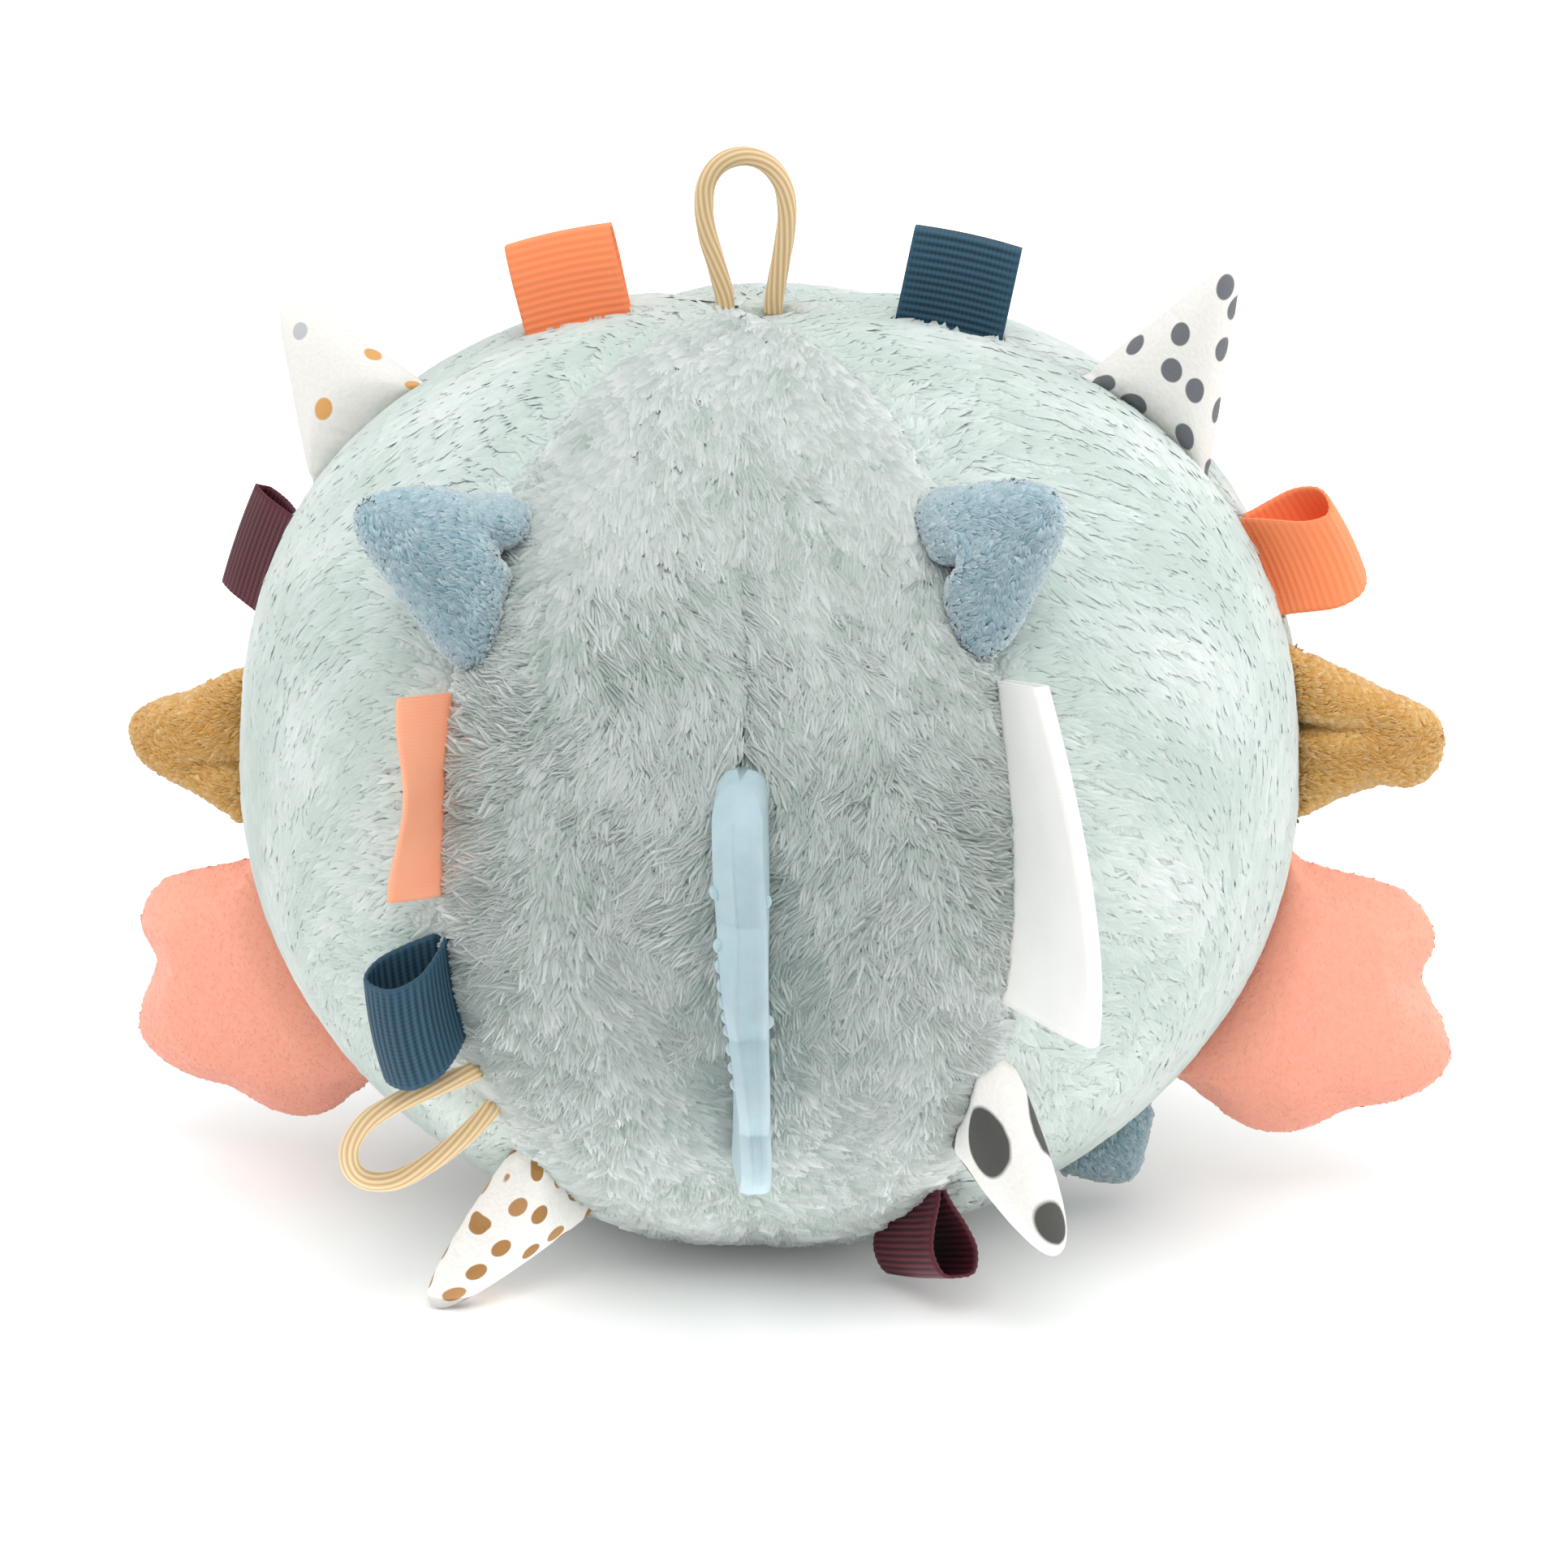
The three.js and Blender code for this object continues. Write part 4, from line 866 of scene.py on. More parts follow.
def slack_pocket(outline, middle, thickness):
    """Two panels sewn round an outline. A point is a share of the way from the middle to the outline,
    and half the thickness there is the square root of 1 - share squared."""
    shares = np.concatenate([np.linspace(0.06, 0.8, 13), np.linspace(0.84, 1, 7)])[:, None]
    x = middle[0] + (outline[None, :, 0] - middle[0]) * shares
    y = middle[1] + (outline[None, :, 1] - middle[1]) * shares
    swell = thickness / 2 * np.sqrt(1 - shares**2) + 0 * x
    body = np.concatenate([np.stack([x, y, swell], -1), np.stack([x, y, -swell], -1)[-2::-1]])
    points = np.concatenate([body.reshape(-1, 3), [[*middle, thickness / 2], [*middle, -thickness / 2]]])
    return points, tube_faces(*body.shape[:2])


def mesh_points(mesh):
    """A mesh's points as an array."""
    points = np.empty(len(mesh.vertices) * 3, np.float32)
    mesh.vertices.foreach_get("co", points)
    return points.reshape(-1, 3)


def evaluated(piece):
    """A piece's mesh with its modifiers applied, as a new mesh."""
    return bpy.data.meshes.new_from_object(piece.evaluated_get(bpy.context.evaluated_depsgraph_get()))


def stuffed_form(outline, middle, thickness, voxel, levels):
    """A pocket blown up by cloth simulation, as points in millimetres and quads. Blender's cloth is steady
    at about half a metre, so the pocket is simulated at 20 times its size. The sewn base line is held.
    A form that shows bare is subdivided once, and one that pile covers isn't."""
    points, faces = slack_pocket(outline, middle, POCKET_SLACK * thickness)
    pocket = make_piece("pocket", points * STUFFING_SCALE, faces, None)
    remesh = pocket.modifiers.new("remesh", "REMESH")
    remesh.mode = "VOXEL"
    remesh.voxel_size = voxel * MM * STUFFING_SCALE
    pocket.data = evaluated(pocket)
    pocket.modifiers.clear()
    start = mesh_points(pocket.data)
    held = pocket.vertex_groups.new(name="held")
    sewn = start[:, 1] < HELD_REACH * MM * STUFFING_SCALE
    held.add(np.flatnonzero(sewn).tolist(), 1.0, "REPLACE")
    cloth = pocket.modifiers.new("stuffing", "CLOTH")
    cloth.point_cache.frame_end = STUFFING_FRAMES
    cloth.settings.quality = 6
    cloth.settings.mass = 0.15
    cloth.settings.bending_stiffness = 0.15
    cloth.settings.air_damping = 4
    cloth.settings.use_pressure = True
    cloth.settings.uniform_pressure_force = 4.0
    cloth.settings.shrink_min = -0.04
    cloth.settings.effector_weights.gravity = 0
    cloth.settings.vertex_group_mass = "held"
    for number in range(1, STUFFING_FRAMES + 1):
        bpy.context.scene.frame_set(number)
    pocket.data = evaluated(pocket)
    pocket.modifiers.clear()
    bpy.context.scene.frame_set(1)
    move = mesh_points(pocket.data) - start
    cap = STUFFING_CAP * MM * STUFFING_SCALE
    full = start + np.clip(move, -cap, cap)
    pocket.data.vertices.foreach_set("co", full.ravel())
    smooth = pocket.modifiers.new("smooth", "SMOOTH")
    smooth.iterations = 4
    finer = pocket.modifiers.new("finer", "SUBSURF")
    finer.levels = finer.render_levels = levels
    done = evaluated(pocket)
    points = mesh_points(done) / MM / STUFFING_SCALE
    quads = np.empty(len(done.loops), np.int32)
    done.loops.foreach_get("vertex_index", quads)
    bpy.data.objects.remove(pocket)
    fit = np.array([1, outline[:, 1].max() / points[:, 1].max(), thickness / np.ptp(points[:, 2])])
    return points * fit, quads.reshape(-1, 4)


def panel_uv(points):
    """UV of a stuffed piece: its panel laid flat, 50 mm to the unit square. Across the panel, a point's
    distance from the middle is measured round an ellipse as wide and as thick as the piece is there."""
    x, y, z = points.T
    row = np.clip(y, 0, None).astype(int)
    wide, thick = np.full((2, row.max() + 1), 0.5)
    np.maximum.at(wide, row, np.abs(x))
    np.maximum.at(thick, row, np.abs(z))
    middle = np.arange(len(wide)) + 0.5
    half_width, half_thickness = np.interp(y, middle, wide), np.interp(y, middle, thick)
    round_about = (half_width + half_thickness) / 2 * np.arcsin(np.clip(x / half_width, -1, 1))
    return np.stack([0.5 + round_about / PANEL, 0.1 + y / PANEL], -1)


def printed_cotton(name, inks, spacing, dot, scatter):
    """Cotton jersey with printed dots: matt and warm white, a fine knit of about 0.6 mm that shows as a soft
    mottle, and dots of one size scattered over it, each in one of the inks."""
    material, tree, shader = new_material(name, Roughness=0.9, Sheen_Weight=0.08, Specular_IOR_Level=0.2)
    spread = add_node(tree, "ShaderNodeUVMap", {}, uv_map="OFBake").outputs[0]
    dots = add_node(
        tree,
        "ShaderNodeTexVoronoi",
        {"Vector": spread, "Scale": PANEL / spacing, "Randomness": scatter},
        voronoi_dimensions="2D",
    )
    edge = dot / 2 / spacing
    mask = add_node(
        tree,
        "ShaderNodeMapRange",
        {"Value": dots.outputs["Distance"], "From Min": edge * 1.08, "From Max": edge * 0.96},
    ).outputs[0]
    pick = add_node(tree, "ShaderNodeSeparateColor", {"Color": dots.outputs["Color"]}).outputs[0]
    ink = linear(inks[0])
    for count, code in enumerate(inks[1:], 1):
        after = {0: pick, 1: count / len(inks)}
        later = add_node(tree, "ShaderNodeMath", after, operation="GREATER_THAN").outputs[0]
        either = {0: later, 6: ink, 7: linear(code)}
        ink = add_node(tree, "ShaderNodeMix", either, data_type="RGBA").outputs[2]
    noise = {"Vector": spread, "Scale": PANEL / JERSEY_KNIT, "Detail": 2.0}
    knit = add_node(tree, "ShaderNodeTexNoise", noise).outputs[0]
    tones = {0: knit, 6: linear("#e0ddd8"), 7: linear("#eeece8")}
    cloth = add_node(tree, "ShaderNodeMix", tones, data_type="RGBA").outputs[2]
    tint = add_node(tree, "ShaderNodeMix", {0: mask, 6: cloth, 7: ink}, data_type="RGBA")
    relief = add_node(tree, "ShaderNodeBump", {"Height": knit, "Distance": 0.00012})
    give(tree, shader, {"Base Color": tint.outputs[2], "Normal": relief.outputs[0]})
    return material


# Each spike's seam, how it hangs in degrees, how it is drawn out, and its print: inks, spacing, size, scatter
spikes = [
    (
        "spike_dotted_left", LEFT_SEAM, {"lean": 8, "tilt": -24}, (1, 1.04, 1),
        (["#424344", "#d9a364", "#b9bbbd"], 10.0, 2.6, 0.6),
    ),
    ("spike_dotted_right", RIGHT_SEAM, {"lean": 12}, (1, 1.08, 1), (["#6d7074"], 6.2, 3.0, 0.6)),
    (
        "spike_dotted_back_left", LEFT_BACK_SEAM, {"lean": 10, "tilt": -22}, (0.78, 1.13, 0.85),
        (["#ae8358", "#a17747"], 5.2, 2.7, 0.6),
    ),
    (
        "spike_dotted_back_right", RIGHT_BACK_SEAM, {"lean": -18, "tilt": 12}, (0.75, 1.08, 0.85),
        (["#4f4f4c"], 13.0, 8.6, 0.4),
    ),
]
outline = round_outline(SPIKE_OUTLINE, 140)
form, quads = stuffed_form(outline, (0.0, 0.36 * SPIKE_REACH), SPIKE_THICKNESS, 0.5, 1)
for node, seam, pose, drawn, dots in spikes:
    cotton = printed_cotton(f"printed_cotton_{node}", *dots)
    place = sewn_place(node, seam, **pose)
    spike = make_piece(f"{node}_cotton", place(*(form * drawn).T), [quads], cotton, panel_uv(form))
    sew(spike, node)


# Short plush pieces: mustard spikes, blue ears and a blue foot, each of two cut plush panels, stuffed.
# The ears and the spikes are pinched into a fold where the seam holds them. The pile is about 1.5 mm long.
# Lay, rise, stand, spread and width of a tuft in millimetres, and its looseness
PLUSH_TUFT = (1.5, 0.5, 0, 0.36, 0.38, 1)
PLUSH_PER_MM2 = 2.6
KNIT_FINISH = {"Roughness": 0.95, "Sheen_Weight": 0.3}


def scatter_on(piece, count, seed):
    """Random places on a piece's surface, in millimetres, with their normals, as many to each area."""
    mesh = piece.data
    mesh.calc_loop_triangles()
    index = np.empty(len(mesh.loop_triangles) * 3, np.int32)
    mesh.loop_triangles.foreach_get("vertices", index)
    a, b, c = (mesh_points(mesh)[index.reshape(-1, 3)[:, k]] / MM for k in range(3))
    cross = np.cross(b - a, c - a)
    area = np.linalg.norm(cross, axis=1)
    rng = np.random.default_rng(seed)
    share = (np.arange(count) + rng.uniform(0, 1, count)) / count
    pick = np.minimum(np.searchsorted(np.cumsum(area) / area.sum(), share), len(area) - 1)
    u, v = rng.uniform(0, 1, (2, count))
    u, v = np.where(u + v > 1, 1 - u, u), np.where(u + v > 1, 1 - v, v)
    return a[pick] + u[:, None] * (b - a)[pick] + v[:, None] * (c - a)[pick], unit(cross[pick])


def sew_plush(node, seam, pose, form, cloth, names, nap):
    """Sews in a stuffed form with short pile all over it, which lies out from the seam in slow swirls.
    nap gives the tufts to a square millimetre, their sizes, the blades to a tuft, the material and a seed."""
    points, quads = form
    per_mm2, sizes, blades, material, seed = nap
    place = sewn_place(node, seam, **pose)
    body = make_piece(f"{node}_{names[0]}", place(*points.T), [quads], cloth, panel_uv(points))
    out = unit(np.subtract(*place(np.zeros(2), np.array([1.0, 0.0]), np.zeros(2))))
    area = sum(polygon.area for polygon in body.data.polygons) / MM**2
    roots, normals = scatter_on(body, int(area * per_mm2), seed)
    flat = unit(out - normals * (normals @ out)[:, None])
    swirl = np.radians(35 * waves(roots, 7, 8, seed) + 20 * waves(roots, 2.5, 8, seed + 1))[:, None]
    lay = flat * np.cos(swirl) + np.cross(normals, flat) * np.sin(swirl)
    tones = np.full(len(roots), 0.5)
    pile = make_pile(f"{node}_{names[1]}", roots, normals, lay, sizes, tones, material, seed + 2, blades)
    sew(body, node)
    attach(pile, node)


def pinch(points, face, depth, height, width, run):
    """A fold pressed into one face: deepest at the base line, at a height on it, and fading outwards.
    The other face follows by a third."""
    x, y, z = points.T
    press = depth * np.exp(-(((x - height) / width) ** 2)) * (1 - ramp(y, 0, run))
    share = np.where(z * face > 0, 1.0, -1 / 3)
    return np.stack([x, y, z - face * share * press * np.clip(np.abs(z) / 2, 0, 1)], -1)


# Knitted ground, seen only between the tufts: the same yarn as the pile, matt, a knit of about 0.9 mm
grounds = {
    "blue": mottled("knitted_plush_ground_blue", KNIT_SIZE, 3.0, "#88adba", "#a3c4cf", **KNIT_FINISH),
    "mustard": mottled("knitted_plush_ground_mustard", KNIT_SIZE, 3.0, "#d99f47", "#e8b569", **KNIT_FINISH),
}
# Their root colours are painted shade between the tufts
piles = {
    "blue": pile_material("cut_polyester_pile_blue", "#7fa6b4", "#a3c5d0", "#e0eff4", 1.0),
    "mustard": pile_material("cut_polyester_pile_mustard", "#d1943c", "#e8b259", "#f8dba4", 0.5),
}
EAR_THICKNESS, PLUSH_SPIKE_THICKNESS, FOOT_THICKNESS = 13.0, 12.0, 10.0
EAR_LEFT_OUTLINE = [
    (-10.8, 0.4), (-4, 0), (2, 0.3), (4.2, 5.5), (6.4, 0.5), (10.6, 0.3), (12.6, 3.6), (11, 10), (8, 17.5),
    (3, 22.3), (-2, 20.5), (-7.5, 12.5), (-11.8, 4.6),
]
EAR_RIGHT_OUTLINE = [
    (-10.8, 0.4), (-5, 0), (-2.4, 0.3), (0, 5.5), (2.4, 0.5), (9, 0.2), (12.4, 2.8), (11.5, 9), (8.5, 17),
    (3.5, 22.3), (-2, 20.5), (-7.5, 12.5), (-11.8, 4.6),
]
PLUSH_SPIKE_LEFT_OUTLINE = [
    (-10, 0.3), (0, 0), (12, 0.3), (12.7, 4.4), (9.4, 12), (6.6, 18), (3.8, 21.3), (1.2, 21.9), (-2.2, 20.2),
    (-4.9, 15.6), (-7.2, 9.8), (-9.8, 4),
]
PLUSH_SPIKE_RIGHT_OUTLINE = [
    (-12.6, 0.3), (0, 0), (10.8, 0.3), (10.8, 3.6), (8.2, 9.5), (5.8, 14), (3.3, 18.6), (0.6, 21.8),
    (-2.8, 22.6), (-6.8, 21.6), (-9, 18.8), (-9.5, 13.7), (-11.2, 8), (-13, 2.8),
]
FOOT_OUTLINE = [
    (-7.6, 0.3), (0, 0), (8.4, 0.3), (8.6, 4), (5.4, 7.2), (1.8, 9.8), (-0.8, 9.8), (-3.9, 7.2), (-7.4, 3),
]
# Each piece's seam, how it hangs in degrees, its cut, thickness, sideways shift and curl, and its fold
plush_pieces = [
    (
        "ear_blue_left", LEFT_BACK_SEAM, {"tilt": -4},
        EAR_LEFT_OUTLINE, EAR_THICKNESS, 2.8, -7.0, (1, 3.4, 4.2, 1.8, 15),
    ),
    (
        "ear_blue_right", RIGHT_BACK_SEAM, {"lean": -5, "tilt": 6},
        EAR_RIGHT_OUTLINE, EAR_THICKNESS, -1.8, 4.4, (-1, 3.4, 0.0, 1.8, 15),
    ),
    ("foot_blue_right", RIGHT_SEAM, {}, FOOT_OUTLINE, FOOT_THICKNESS, 0.0, 0.0, (-1, 0.0, 0.0, 1.0, 1)),
    (
        "spike_mustard_left", LEFT_SEAM, {"tilt": -20},
        PLUSH_SPIKE_LEFT_OUTLINE, PLUSH_SPIKE_THICKNESS, 0.0, 0.0, (1, 3.6, -1.0, 2.0, 13),
    ),
    (
        "spike_mustard_right", RIGHT_SEAM, {},
        PLUSH_SPIKE_RIGHT_OUTLINE, PLUSH_SPIKE_THICKNESS, 0.0, 0.0, (-1, 4.2, 0.5, 1.6, 17),
    ),
]
for number, (node, seam, pose, cut, thickness, shift, curl, fold) in enumerate(plush_pieces):
    outline = round_outline(cut, 150)
    reach = outline[:, 1].max()
    form, quads = stuffed_form(outline, (0.0, 0.42 * reach), thickness, 0.5, 0)
    form = pinch(form, *fold)
    form[:, 2] += shift + curl * (np.maximum(form[:, 1], 0) / reach) ** 2
    colour = node.split("_")[1]
    nap = (PLUSH_PER_MM2, PLUSH_TUFT, 4, piles[colour], 300 + 10 * number)
    names = ("plush", "pile")
    sew_plush(node, seam, pose, (form, quads), grounds[colour], names, nap)


# Fins: two panels of coral velour with three round lobes, stuffed soft, standing out of the side seams.
# The nap is very short, so the fins look smooth and peachy with a faint mottle.
FIN_THICKNESS = 13.0
FIN_MIDDLE = (0.0, 14.0)
VELOUR_TUFT = (0.5, 0.1, 0, 0.3, 0.34, 0.7)
VELOUR_PER_MM2 = 1.1
FIN_OUTLINE = [
    (-19, 0.2), (0, 0), (19, 0.2), (20, 4.6), (21.2, 9.8), (22.7, 15.6), (23.3, 21), (21.3, 25.2),
    (17.7, 26.8), (13.2, 26), (10.6, 28.2), (7.5, 31.5), (2.6, 34.7), (-1.5, 34.5), (-5.5, 32.6), (-9, 29.6),
    (-11.7, 26.5), (-14.8, 24.9), (-18.2, 23.2), (-20.9, 20.3), (-22.2, 16), (-21.5, 11), (-20.4, 5),
]
velour = mottled("knitted_velour_coral", KNIT_SIZE, 3.0, "#f79f86", "#ffb49d", **KNIT_FINISH)
# The nap's root colour is painted shade between the tufts, faint here
velour_nap = pile_material("velour_nap_coral", "#f79f86", "#fba890", "#ffbda8", 0.3)
fins = [("fin_coral_left", LEFT_SEAM, {"tilt": -20}), ("fin_coral_right", RIGHT_SEAM, {})]
form = stuffed_form(round_outline(FIN_OUTLINE, 220), FIN_MIDDLE, FIN_THICKNESS, 0.75, 0)
for number, (node, seam, pose) in enumerate(fins):
    nap = (VELOUR_PER_MM2, VELOUR_TUFT, 3, velour_nap, 400 + 10 * number)
    sew_plush(node, seam, pose, form, velour, ("velour", "nap"), nap)


# Teether: one plate of silicone, moulded with a thin flange that is sewn into the back seam.
# Its free edge is scalloped and carries mould lines, and round nubs stand on both faces for the gums.
TEETHER_LENGTH = 65.0
TEETHER_REACH = 21.0
TEETHER_THICKNESS = 6.5
TEETHER_EDGE_RADIUS = 1.6
TEETHER_FLANGE_REACH = 4.0
TEETHER_FLANGE_THICKNESS = 1.6
TEETHER_SCALLOPS = 4
TEETHER_SCALLOP_DEPTH = 2.4
TEETHER_END_RADIUS = 3.2
TEETHER_THINNING = 1.1
TEETHER_SWELL = 1.4
TEETHER_EDGE_CUT = 1.2
TEETHER_EDGE_WEAR = 2.2
MOULD_LINE_DEPTH = 0.12
NUB_RADIUS = 1.1
NUB_INSET = 3.2
NUB_SINK = 0.4
LEFT_NUBS = np.array([*np.linspace(0.39, 0.7, 9), 0.81])
RIGHT_NUBS = np.array([0.53, 0.79])
BLOOM_GRAIN = (0.5, 2.0, 0.00004)


def end_round(share):
    """How full the plate is near its ends: 1 along its length, and down to 0 round its end radius."""
    past = np.abs(share - 0.5) * TEETHER_LENGTH - (TEETHER_LENGTH / 2 - TEETHER_END_RADIUS)
    return np.sqrt(1 - np.clip(past / TEETHER_END_RADIUS, 0, 1) ** 2)


def teether_edge(share):
    """How far the plate reaches out along its length: an arch with round scallops cut into it."""
    scallop = TEETHER_SCALLOP_DEPTH * (1 - np.abs(np.sin(np.pi * TEETHER_SCALLOPS * share)))
    crown = (0.55 + 0.45 * np.sin(np.pi * share) ** 0.5) * (0.5 + 0.5 * end_round(share))
    solid = TEETHER_FLANGE_REACH + 2 * TEETHER_EDGE_RADIUS
    return solid + (TEETHER_REACH - solid) * crown - scallop * crown


# Food-grade silicone, compression moulded: pale, slightly see-through at thin edges, satin with fine bloom
silicone = mottled(
    "moulded_silicone", 4, 4.0, "#9ab4bc", "#b3c9d0", BLOOM_GRAIN, Roughness=0.42, IOR=1.41,
    Subsurface_Weight=0.25, Subsurface_Scale=0.004,
)
place = sewn_place("teether_tail", BACK_SEAM, tilt=4, twist=12, length=TEETHER_LENGTH)
share = np.linspace(0, 1, 201)[:, None]
x = TEETHER_LENGTH * (share - 0.5)
edge = teether_edge(share)
full = 0.22 + 0.78 * end_round(share)
half = (TEETHER_THICKNESS / 2 - TEETHER_THINNING + TEETHER_SWELL * ramp(share, 0.25, 0.8)) * full


def plate_side(cut, power):
    """Reach and half thickness round one side: flange, shoulder, face, an edge cut back by so much and
    rounded to a power, and the mould lines along the edge."""
    bevel = np.radians(np.linspace(0, 90, 9))[None, :]
    cut = np.minimum(cut, 0.8 * half)
    shoulder = TEETHER_FLANGE_REACH
    start = shoulder + 1.0
    flange_y = np.array([[0, shoulder, shoulder + 0.3, start]]) + 0 * edge
    flange_z = np.concatenate([0 * half + TEETHER_FLANGE_THICKNESS / 2] * 2 + [0.9 * half, half], 1)
    face_y = start + (edge - cut - start) * np.linspace(0.2, 0.9, 6)[None, :]
    round_y = edge - cut * (1 - np.sin(bevel) ** power)
    round_z = half - cut * (1 - np.cos(bevel) ** power)
    lines_y = edge - MOULD_LINE_DEPTH * np.array([[0, 1, 0, 1]])
    lines_z = (half - cut) * np.array([[0.85, 0.65, 0.5, 0.2]])
    reach = np.concatenate([flange_y, face_y, round_y, lines_y], 1)
    return reach, np.concatenate([flange_z, half + 0 * face_y, round_z, lines_z], 1)


# The right edge is round. The left one is worn to a broad chamfer towards the top
right_y, right_z = plate_side(TEETHER_EDGE_CUT + 0 * share, 1.0)
left_y, left_z = plate_side(TEETHER_EDGE_CUT + TEETHER_EDGE_WEAR * ramp(share, 0.55, 0.8), 1.9)
ring_y = np.concatenate([right_y, left_y[:, ::-1]], 1)
ring_z = np.concatenate([right_z, -left_z[:, ::-1]], 1)
plate = place(x * np.clip(0.96 + 0.008 * ring_y, 0, 1), ring_y, ring_z)
points = np.concatenate([plate.reshape(-1, 3), plate[[0, -1], 4:-4].mean(1)])
faces = tube_faces(*plate.shape[:2])
if volume_of(points, faces) < 0:
    faces = [group[:, ::-1] for group in faces]

# Nubs: one dome formula placed along both faces, a little inside the plate's edge
nub_turn = np.linspace(0, 2 * np.pi, 14, endpoint=False)[None, None, :]
nub_rise = np.radians([-25, 0, 25, 50, 72])[None, :, None]
nub_faces = tube_faces(nub_rise.size, nub_turn.size)
away = NUB_RADIUS * np.cos(nub_rise)
for side, nub_share in ((-1, LEFT_NUBS), (1, RIGHT_NUBS)):
    nub_x = TEETHER_LENGTH * (nub_share - 0.5)
    nub_y = teether_edge(nub_share) - NUB_INSET
    face = np.interp(nub_share, share[:, 0], half[:, 0])
    dome = place(
        nub_x[:, None, None] + away * np.cos(nub_turn),
        nub_y[:, None, None] + away * np.sin(nub_turn),
        side * (face[:, None, None] - NUB_SINK + NUB_RADIUS * np.sin(nub_rise)) + 0 * nub_turn,
    )
    foot = place(nub_x, nub_y, side * (face - 3 * NUB_SINK))
    top = place(nub_x, nub_y, side * (face - NUB_SINK + NUB_RADIUS))
    block = np.concatenate([dome.reshape(len(nub_share), -1, 3), foot[:, None], top[:, None]], 1)
    start = len(points) + block.shape[1] * np.arange(len(nub_share))[:, None, None]
    domes = [group[None] + start for group in nub_faces]
    if volume_of(block[0], nub_faces) < 0:
        domes = [group[..., ::-1] for group in domes]
    points = np.concatenate([points, block.reshape(-1, 3)])
    faces += [group.reshape(-1, group.shape[-1]) for group in domes]
teether = make_piece("teether_tail_silicone", points, faces, silicone)
sew(teether, "teether_tail")


# Studio: a white card for a floor, in a white room that only the camera, gloss and glass see as white.
# Softboxes hang overhead, at each side and in front, and a low card bounces light up from the front.
# The camera stands a little right of the back seam, 15 degrees above the floor.
FRAME_PIXELS = 1932
PIXELS_PER_MM = 8.25
CAMERA_DISTANCE = 1.0
CAMERA_AZIMUTH = np.radians(5.0)
CAMERA_ELEVATION = np.radians(15.0)
BALL_PIXEL = (950, 945)

back = np.array([
    np.sin(CAMERA_AZIMUTH) * np.cos(CAMERA_ELEVATION),
    -np.cos(CAMERA_AZIMUTH) * np.cos(CAMERA_ELEVATION),
    np.sin(CAMERA_ELEVATION),
])
right = np.array([np.cos(CAMERA_AZIMUTH), np.sin(CAMERA_AZIMUTH), 0])
above = np.cross(back, right)
off_right = (FRAME_PIXELS / 2 - BALL_PIXEL[0]) / PIXELS_PER_MM * MM
off_above = (BALL_PIXEL[1] - FRAME_PIXELS / 2) / PIXELS_PER_MM * MM
aim = np.array([0, 0, CENTRE_HEIGHT * MM]) + right * off_right + above * off_above
camera = bpy.data.objects.new("camera", bpy.data.cameras.new("camera"))
camera.data.sensor_width = 36.0
camera.data.lens = PIXELS_PER_MM / MM * CAMERA_DISTANCE * camera.data.sensor_width / FRAME_PIXELS
camera.location = Vector(aim + back * CAMERA_DISTANCE)
camera.rotation_euler = Vector(-back).to_track_quat("-Z", "Y").to_euler()
bpy.context.scene.collection.objects.link(camera)
bpy.context.scene.camera = camera


def area_light(name, place, target, size, power):
    """A rectangular softbox that looks at a point, out of the camera's sight."""
    lamp = bpy.data.objects.new(name, bpy.data.lights.new(name, "AREA"))
    lamp.data.shape = "RECTANGLE"
    lamp.data.size, lamp.data.size_y = size
    lamp.data.energy = power
    lamp.location = place
    lamp.rotation_euler = (Vector(target) - Vector(place)).to_track_quat("-Z", "Y").to_euler()
    lamp.visible_camera = False
    bpy.context.scene.collection.objects.link(lamp)


area_light("softbox_overhead", (0.0, 0.2, 1.1), (0, 0, 0.06), (1.0, 1.0), 2.9)
area_light("softbox_right", (1.0, 0.22, 0.22), (0, 0, 0.06), (0.8, 0.8), 5.7)
area_light("softbox_left", (-1.0, 0.1, 0.3), (0, 0, 0.06), (0.8, 0.8), 3.2)
area_light("softbox_front", (0.1, -0.8, 1.25), (0, 0, 0.1), (0.9, 0.9), 8.4)
area_light("bounce_front", (0, -0.08, 0.002), (0, -0.08, 0.5), (0.2, 0.06), 0.036)


def looked_at(tree):
    """1 for a ray that shows a surface to the eye, straight or by way of gloss or glass, and 0 for others."""
    rays = add_node(tree, "ShaderNodeLightPath", {}).outputs
    seen = rays["Is Camera Ray"]
    for kind in ("Is Glossy Ray", "Is Transmission Ray"):
        seen = add_node(tree, "ShaderNodeMath", {0: seen, 1: rays[kind]}, operation="MAXIMUM").outputs[0]
    return seen


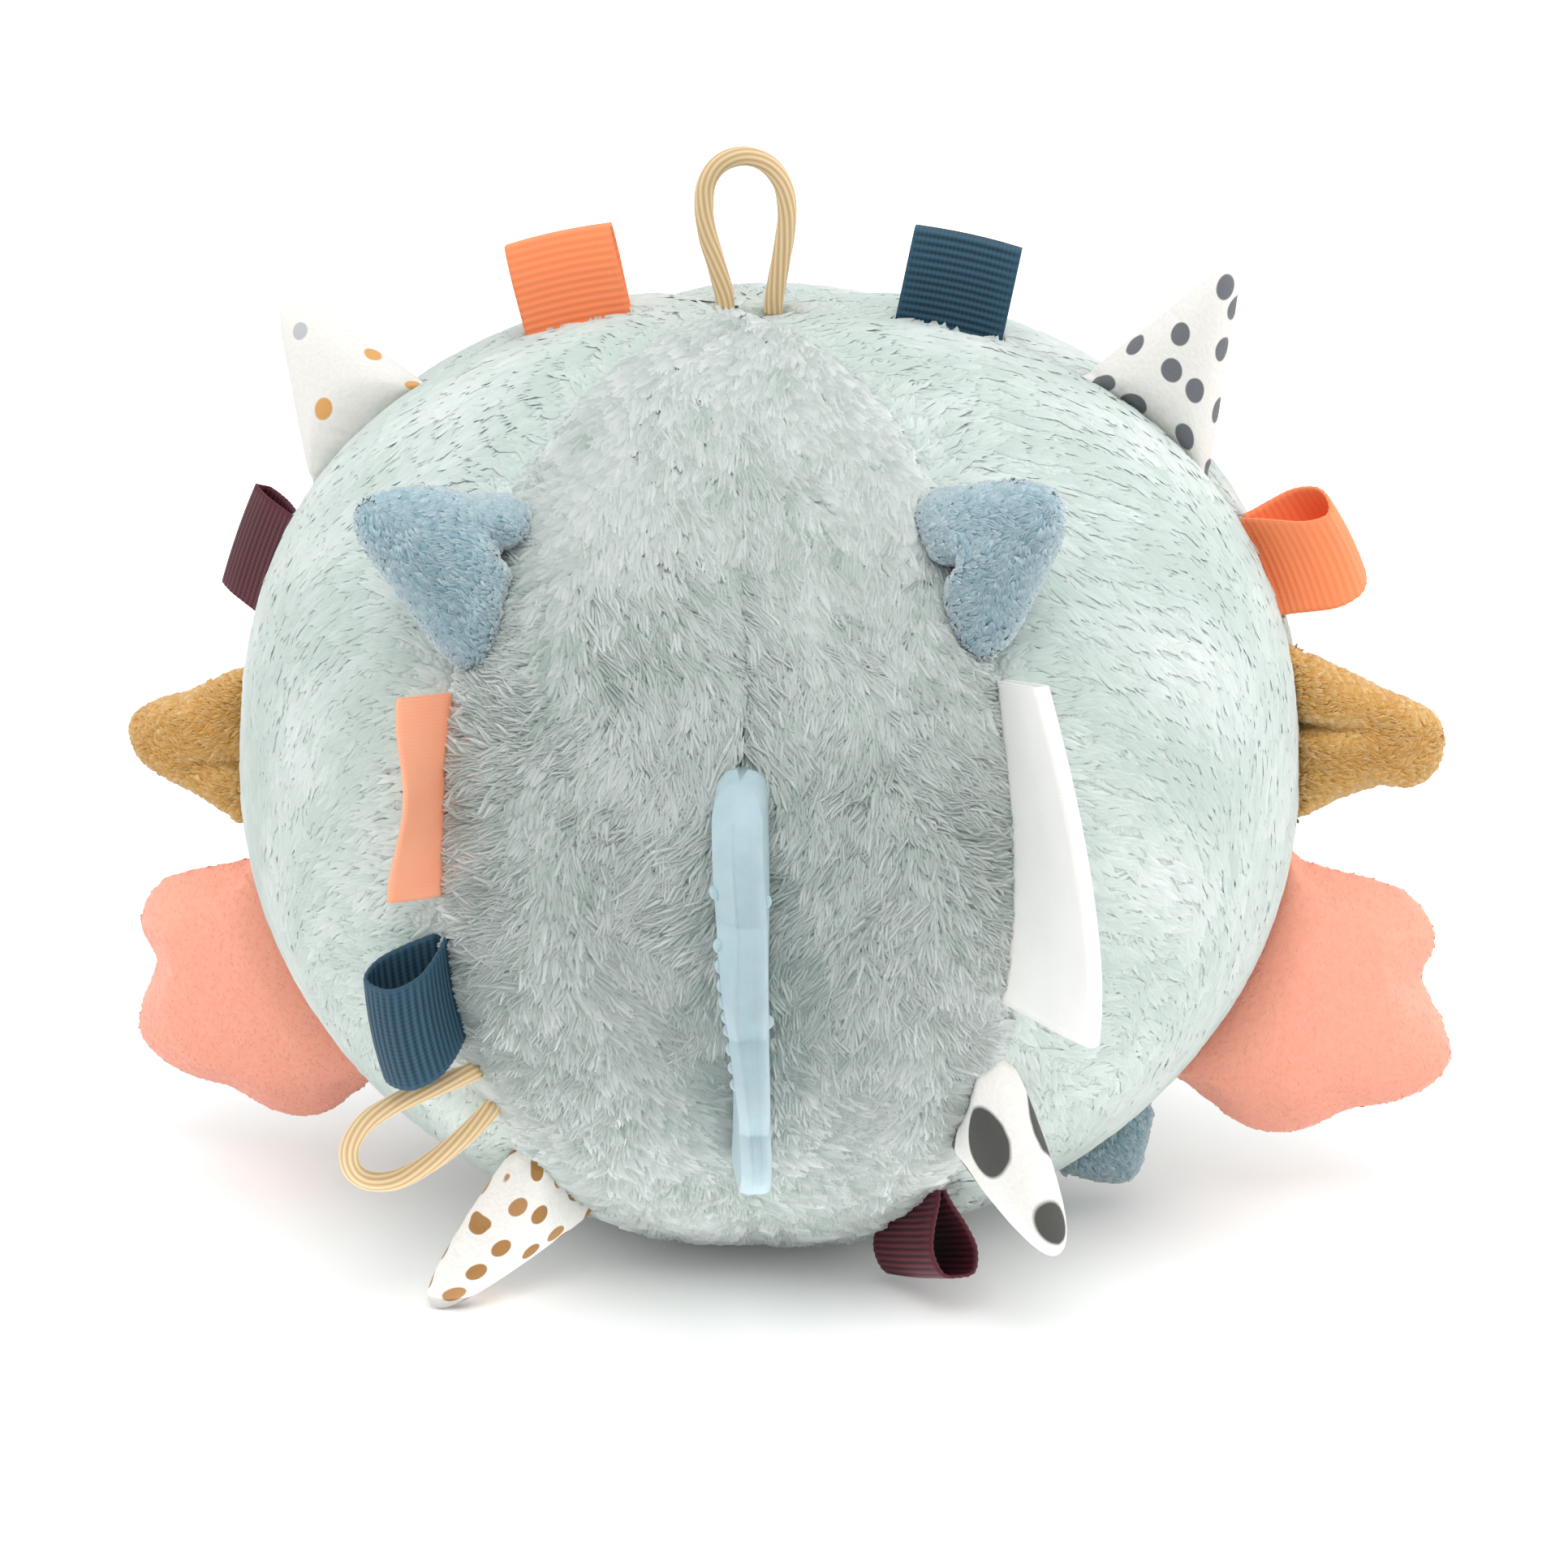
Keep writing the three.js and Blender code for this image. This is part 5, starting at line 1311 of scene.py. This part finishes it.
# Floor: matt white card. To the camera it adds enough of its own light to reach white outside the shadow:
# from 0.08 at 30 mm from the ball's middle to 0.9 at 450 mm
card, tree, shader = new_material("white_card", Roughness=1.0, Specular_IOR_Level=0.0)
grain = add_node(tree, "ShaderNodeTexNoise", {"Scale": 60.0}).outputs[0]
tones = {0: grain, 6: (0.88, 0.88, 0.88, 1), 7: (0.9, 0.9, 0.9, 1)}
tint = add_node(tree, "ShaderNodeMix", tones, data_type="RGBA")
spot = add_node(tree, "ShaderNodeTexCoord", {}).outputs["Object"]
away = add_node(tree, "ShaderNodeVectorMath", {0: spot}, operation="LENGTH").outputs["Value"]
level = add_node(tree, "ShaderNodeMapRange", {"Value": away, 1: 0.03, 2: 0.45, 3: 0.08, 4: 0.9}).outputs[0]
glow = add_node(tree, "ShaderNodeMath", {0: looked_at(tree), 1: level}, operation="MULTIPLY").outputs[0]
give(tree, shader, {"Base Color": tint.outputs[2], "Emission Color": (1, 1, 1, 1), "Emission Strength": glow})
mesh = bpy.data.meshes.new("floor_card")
mesh.from_pydata([(-6, -6, 0), (6, -6, 0), (6, 6, 0), (-6, 6, 0)], [], [(0, 1, 2, 3)])
mesh.materials.append(card)
floor = bpy.data.objects.new("floor_card", mesh)
bpy.context.scene.collection.objects.link(floor)
floor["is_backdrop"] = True

world = bpy.data.worlds.new("white_room")
world.use_nodes = True
tree = world.node_tree
tree.nodes.clear()
ambient = add_node(tree, "ShaderNodeBackground", {"Color": (1, 1, 1, 1), "Strength": 0.66}).outputs[0]
white = add_node(tree, "ShaderNodeBackground", {"Color": (1, 1, 1, 1), "Strength": 1.0}).outputs[0]
mixed = add_node(tree, "ShaderNodeMixShader", {0: looked_at(tree), 1: ambient, 2: white})
add_node(tree, "ShaderNodeOutputWorld", {"Surface": mixed.outputs[0]})
bpy.context.scene.world = world
bpy.context.scene.view_settings.view_transform = "Standard"

low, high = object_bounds()
sizes = {"cad": [list(cad_low), list(cad_high)], "visual": [list(low), list(high)]}
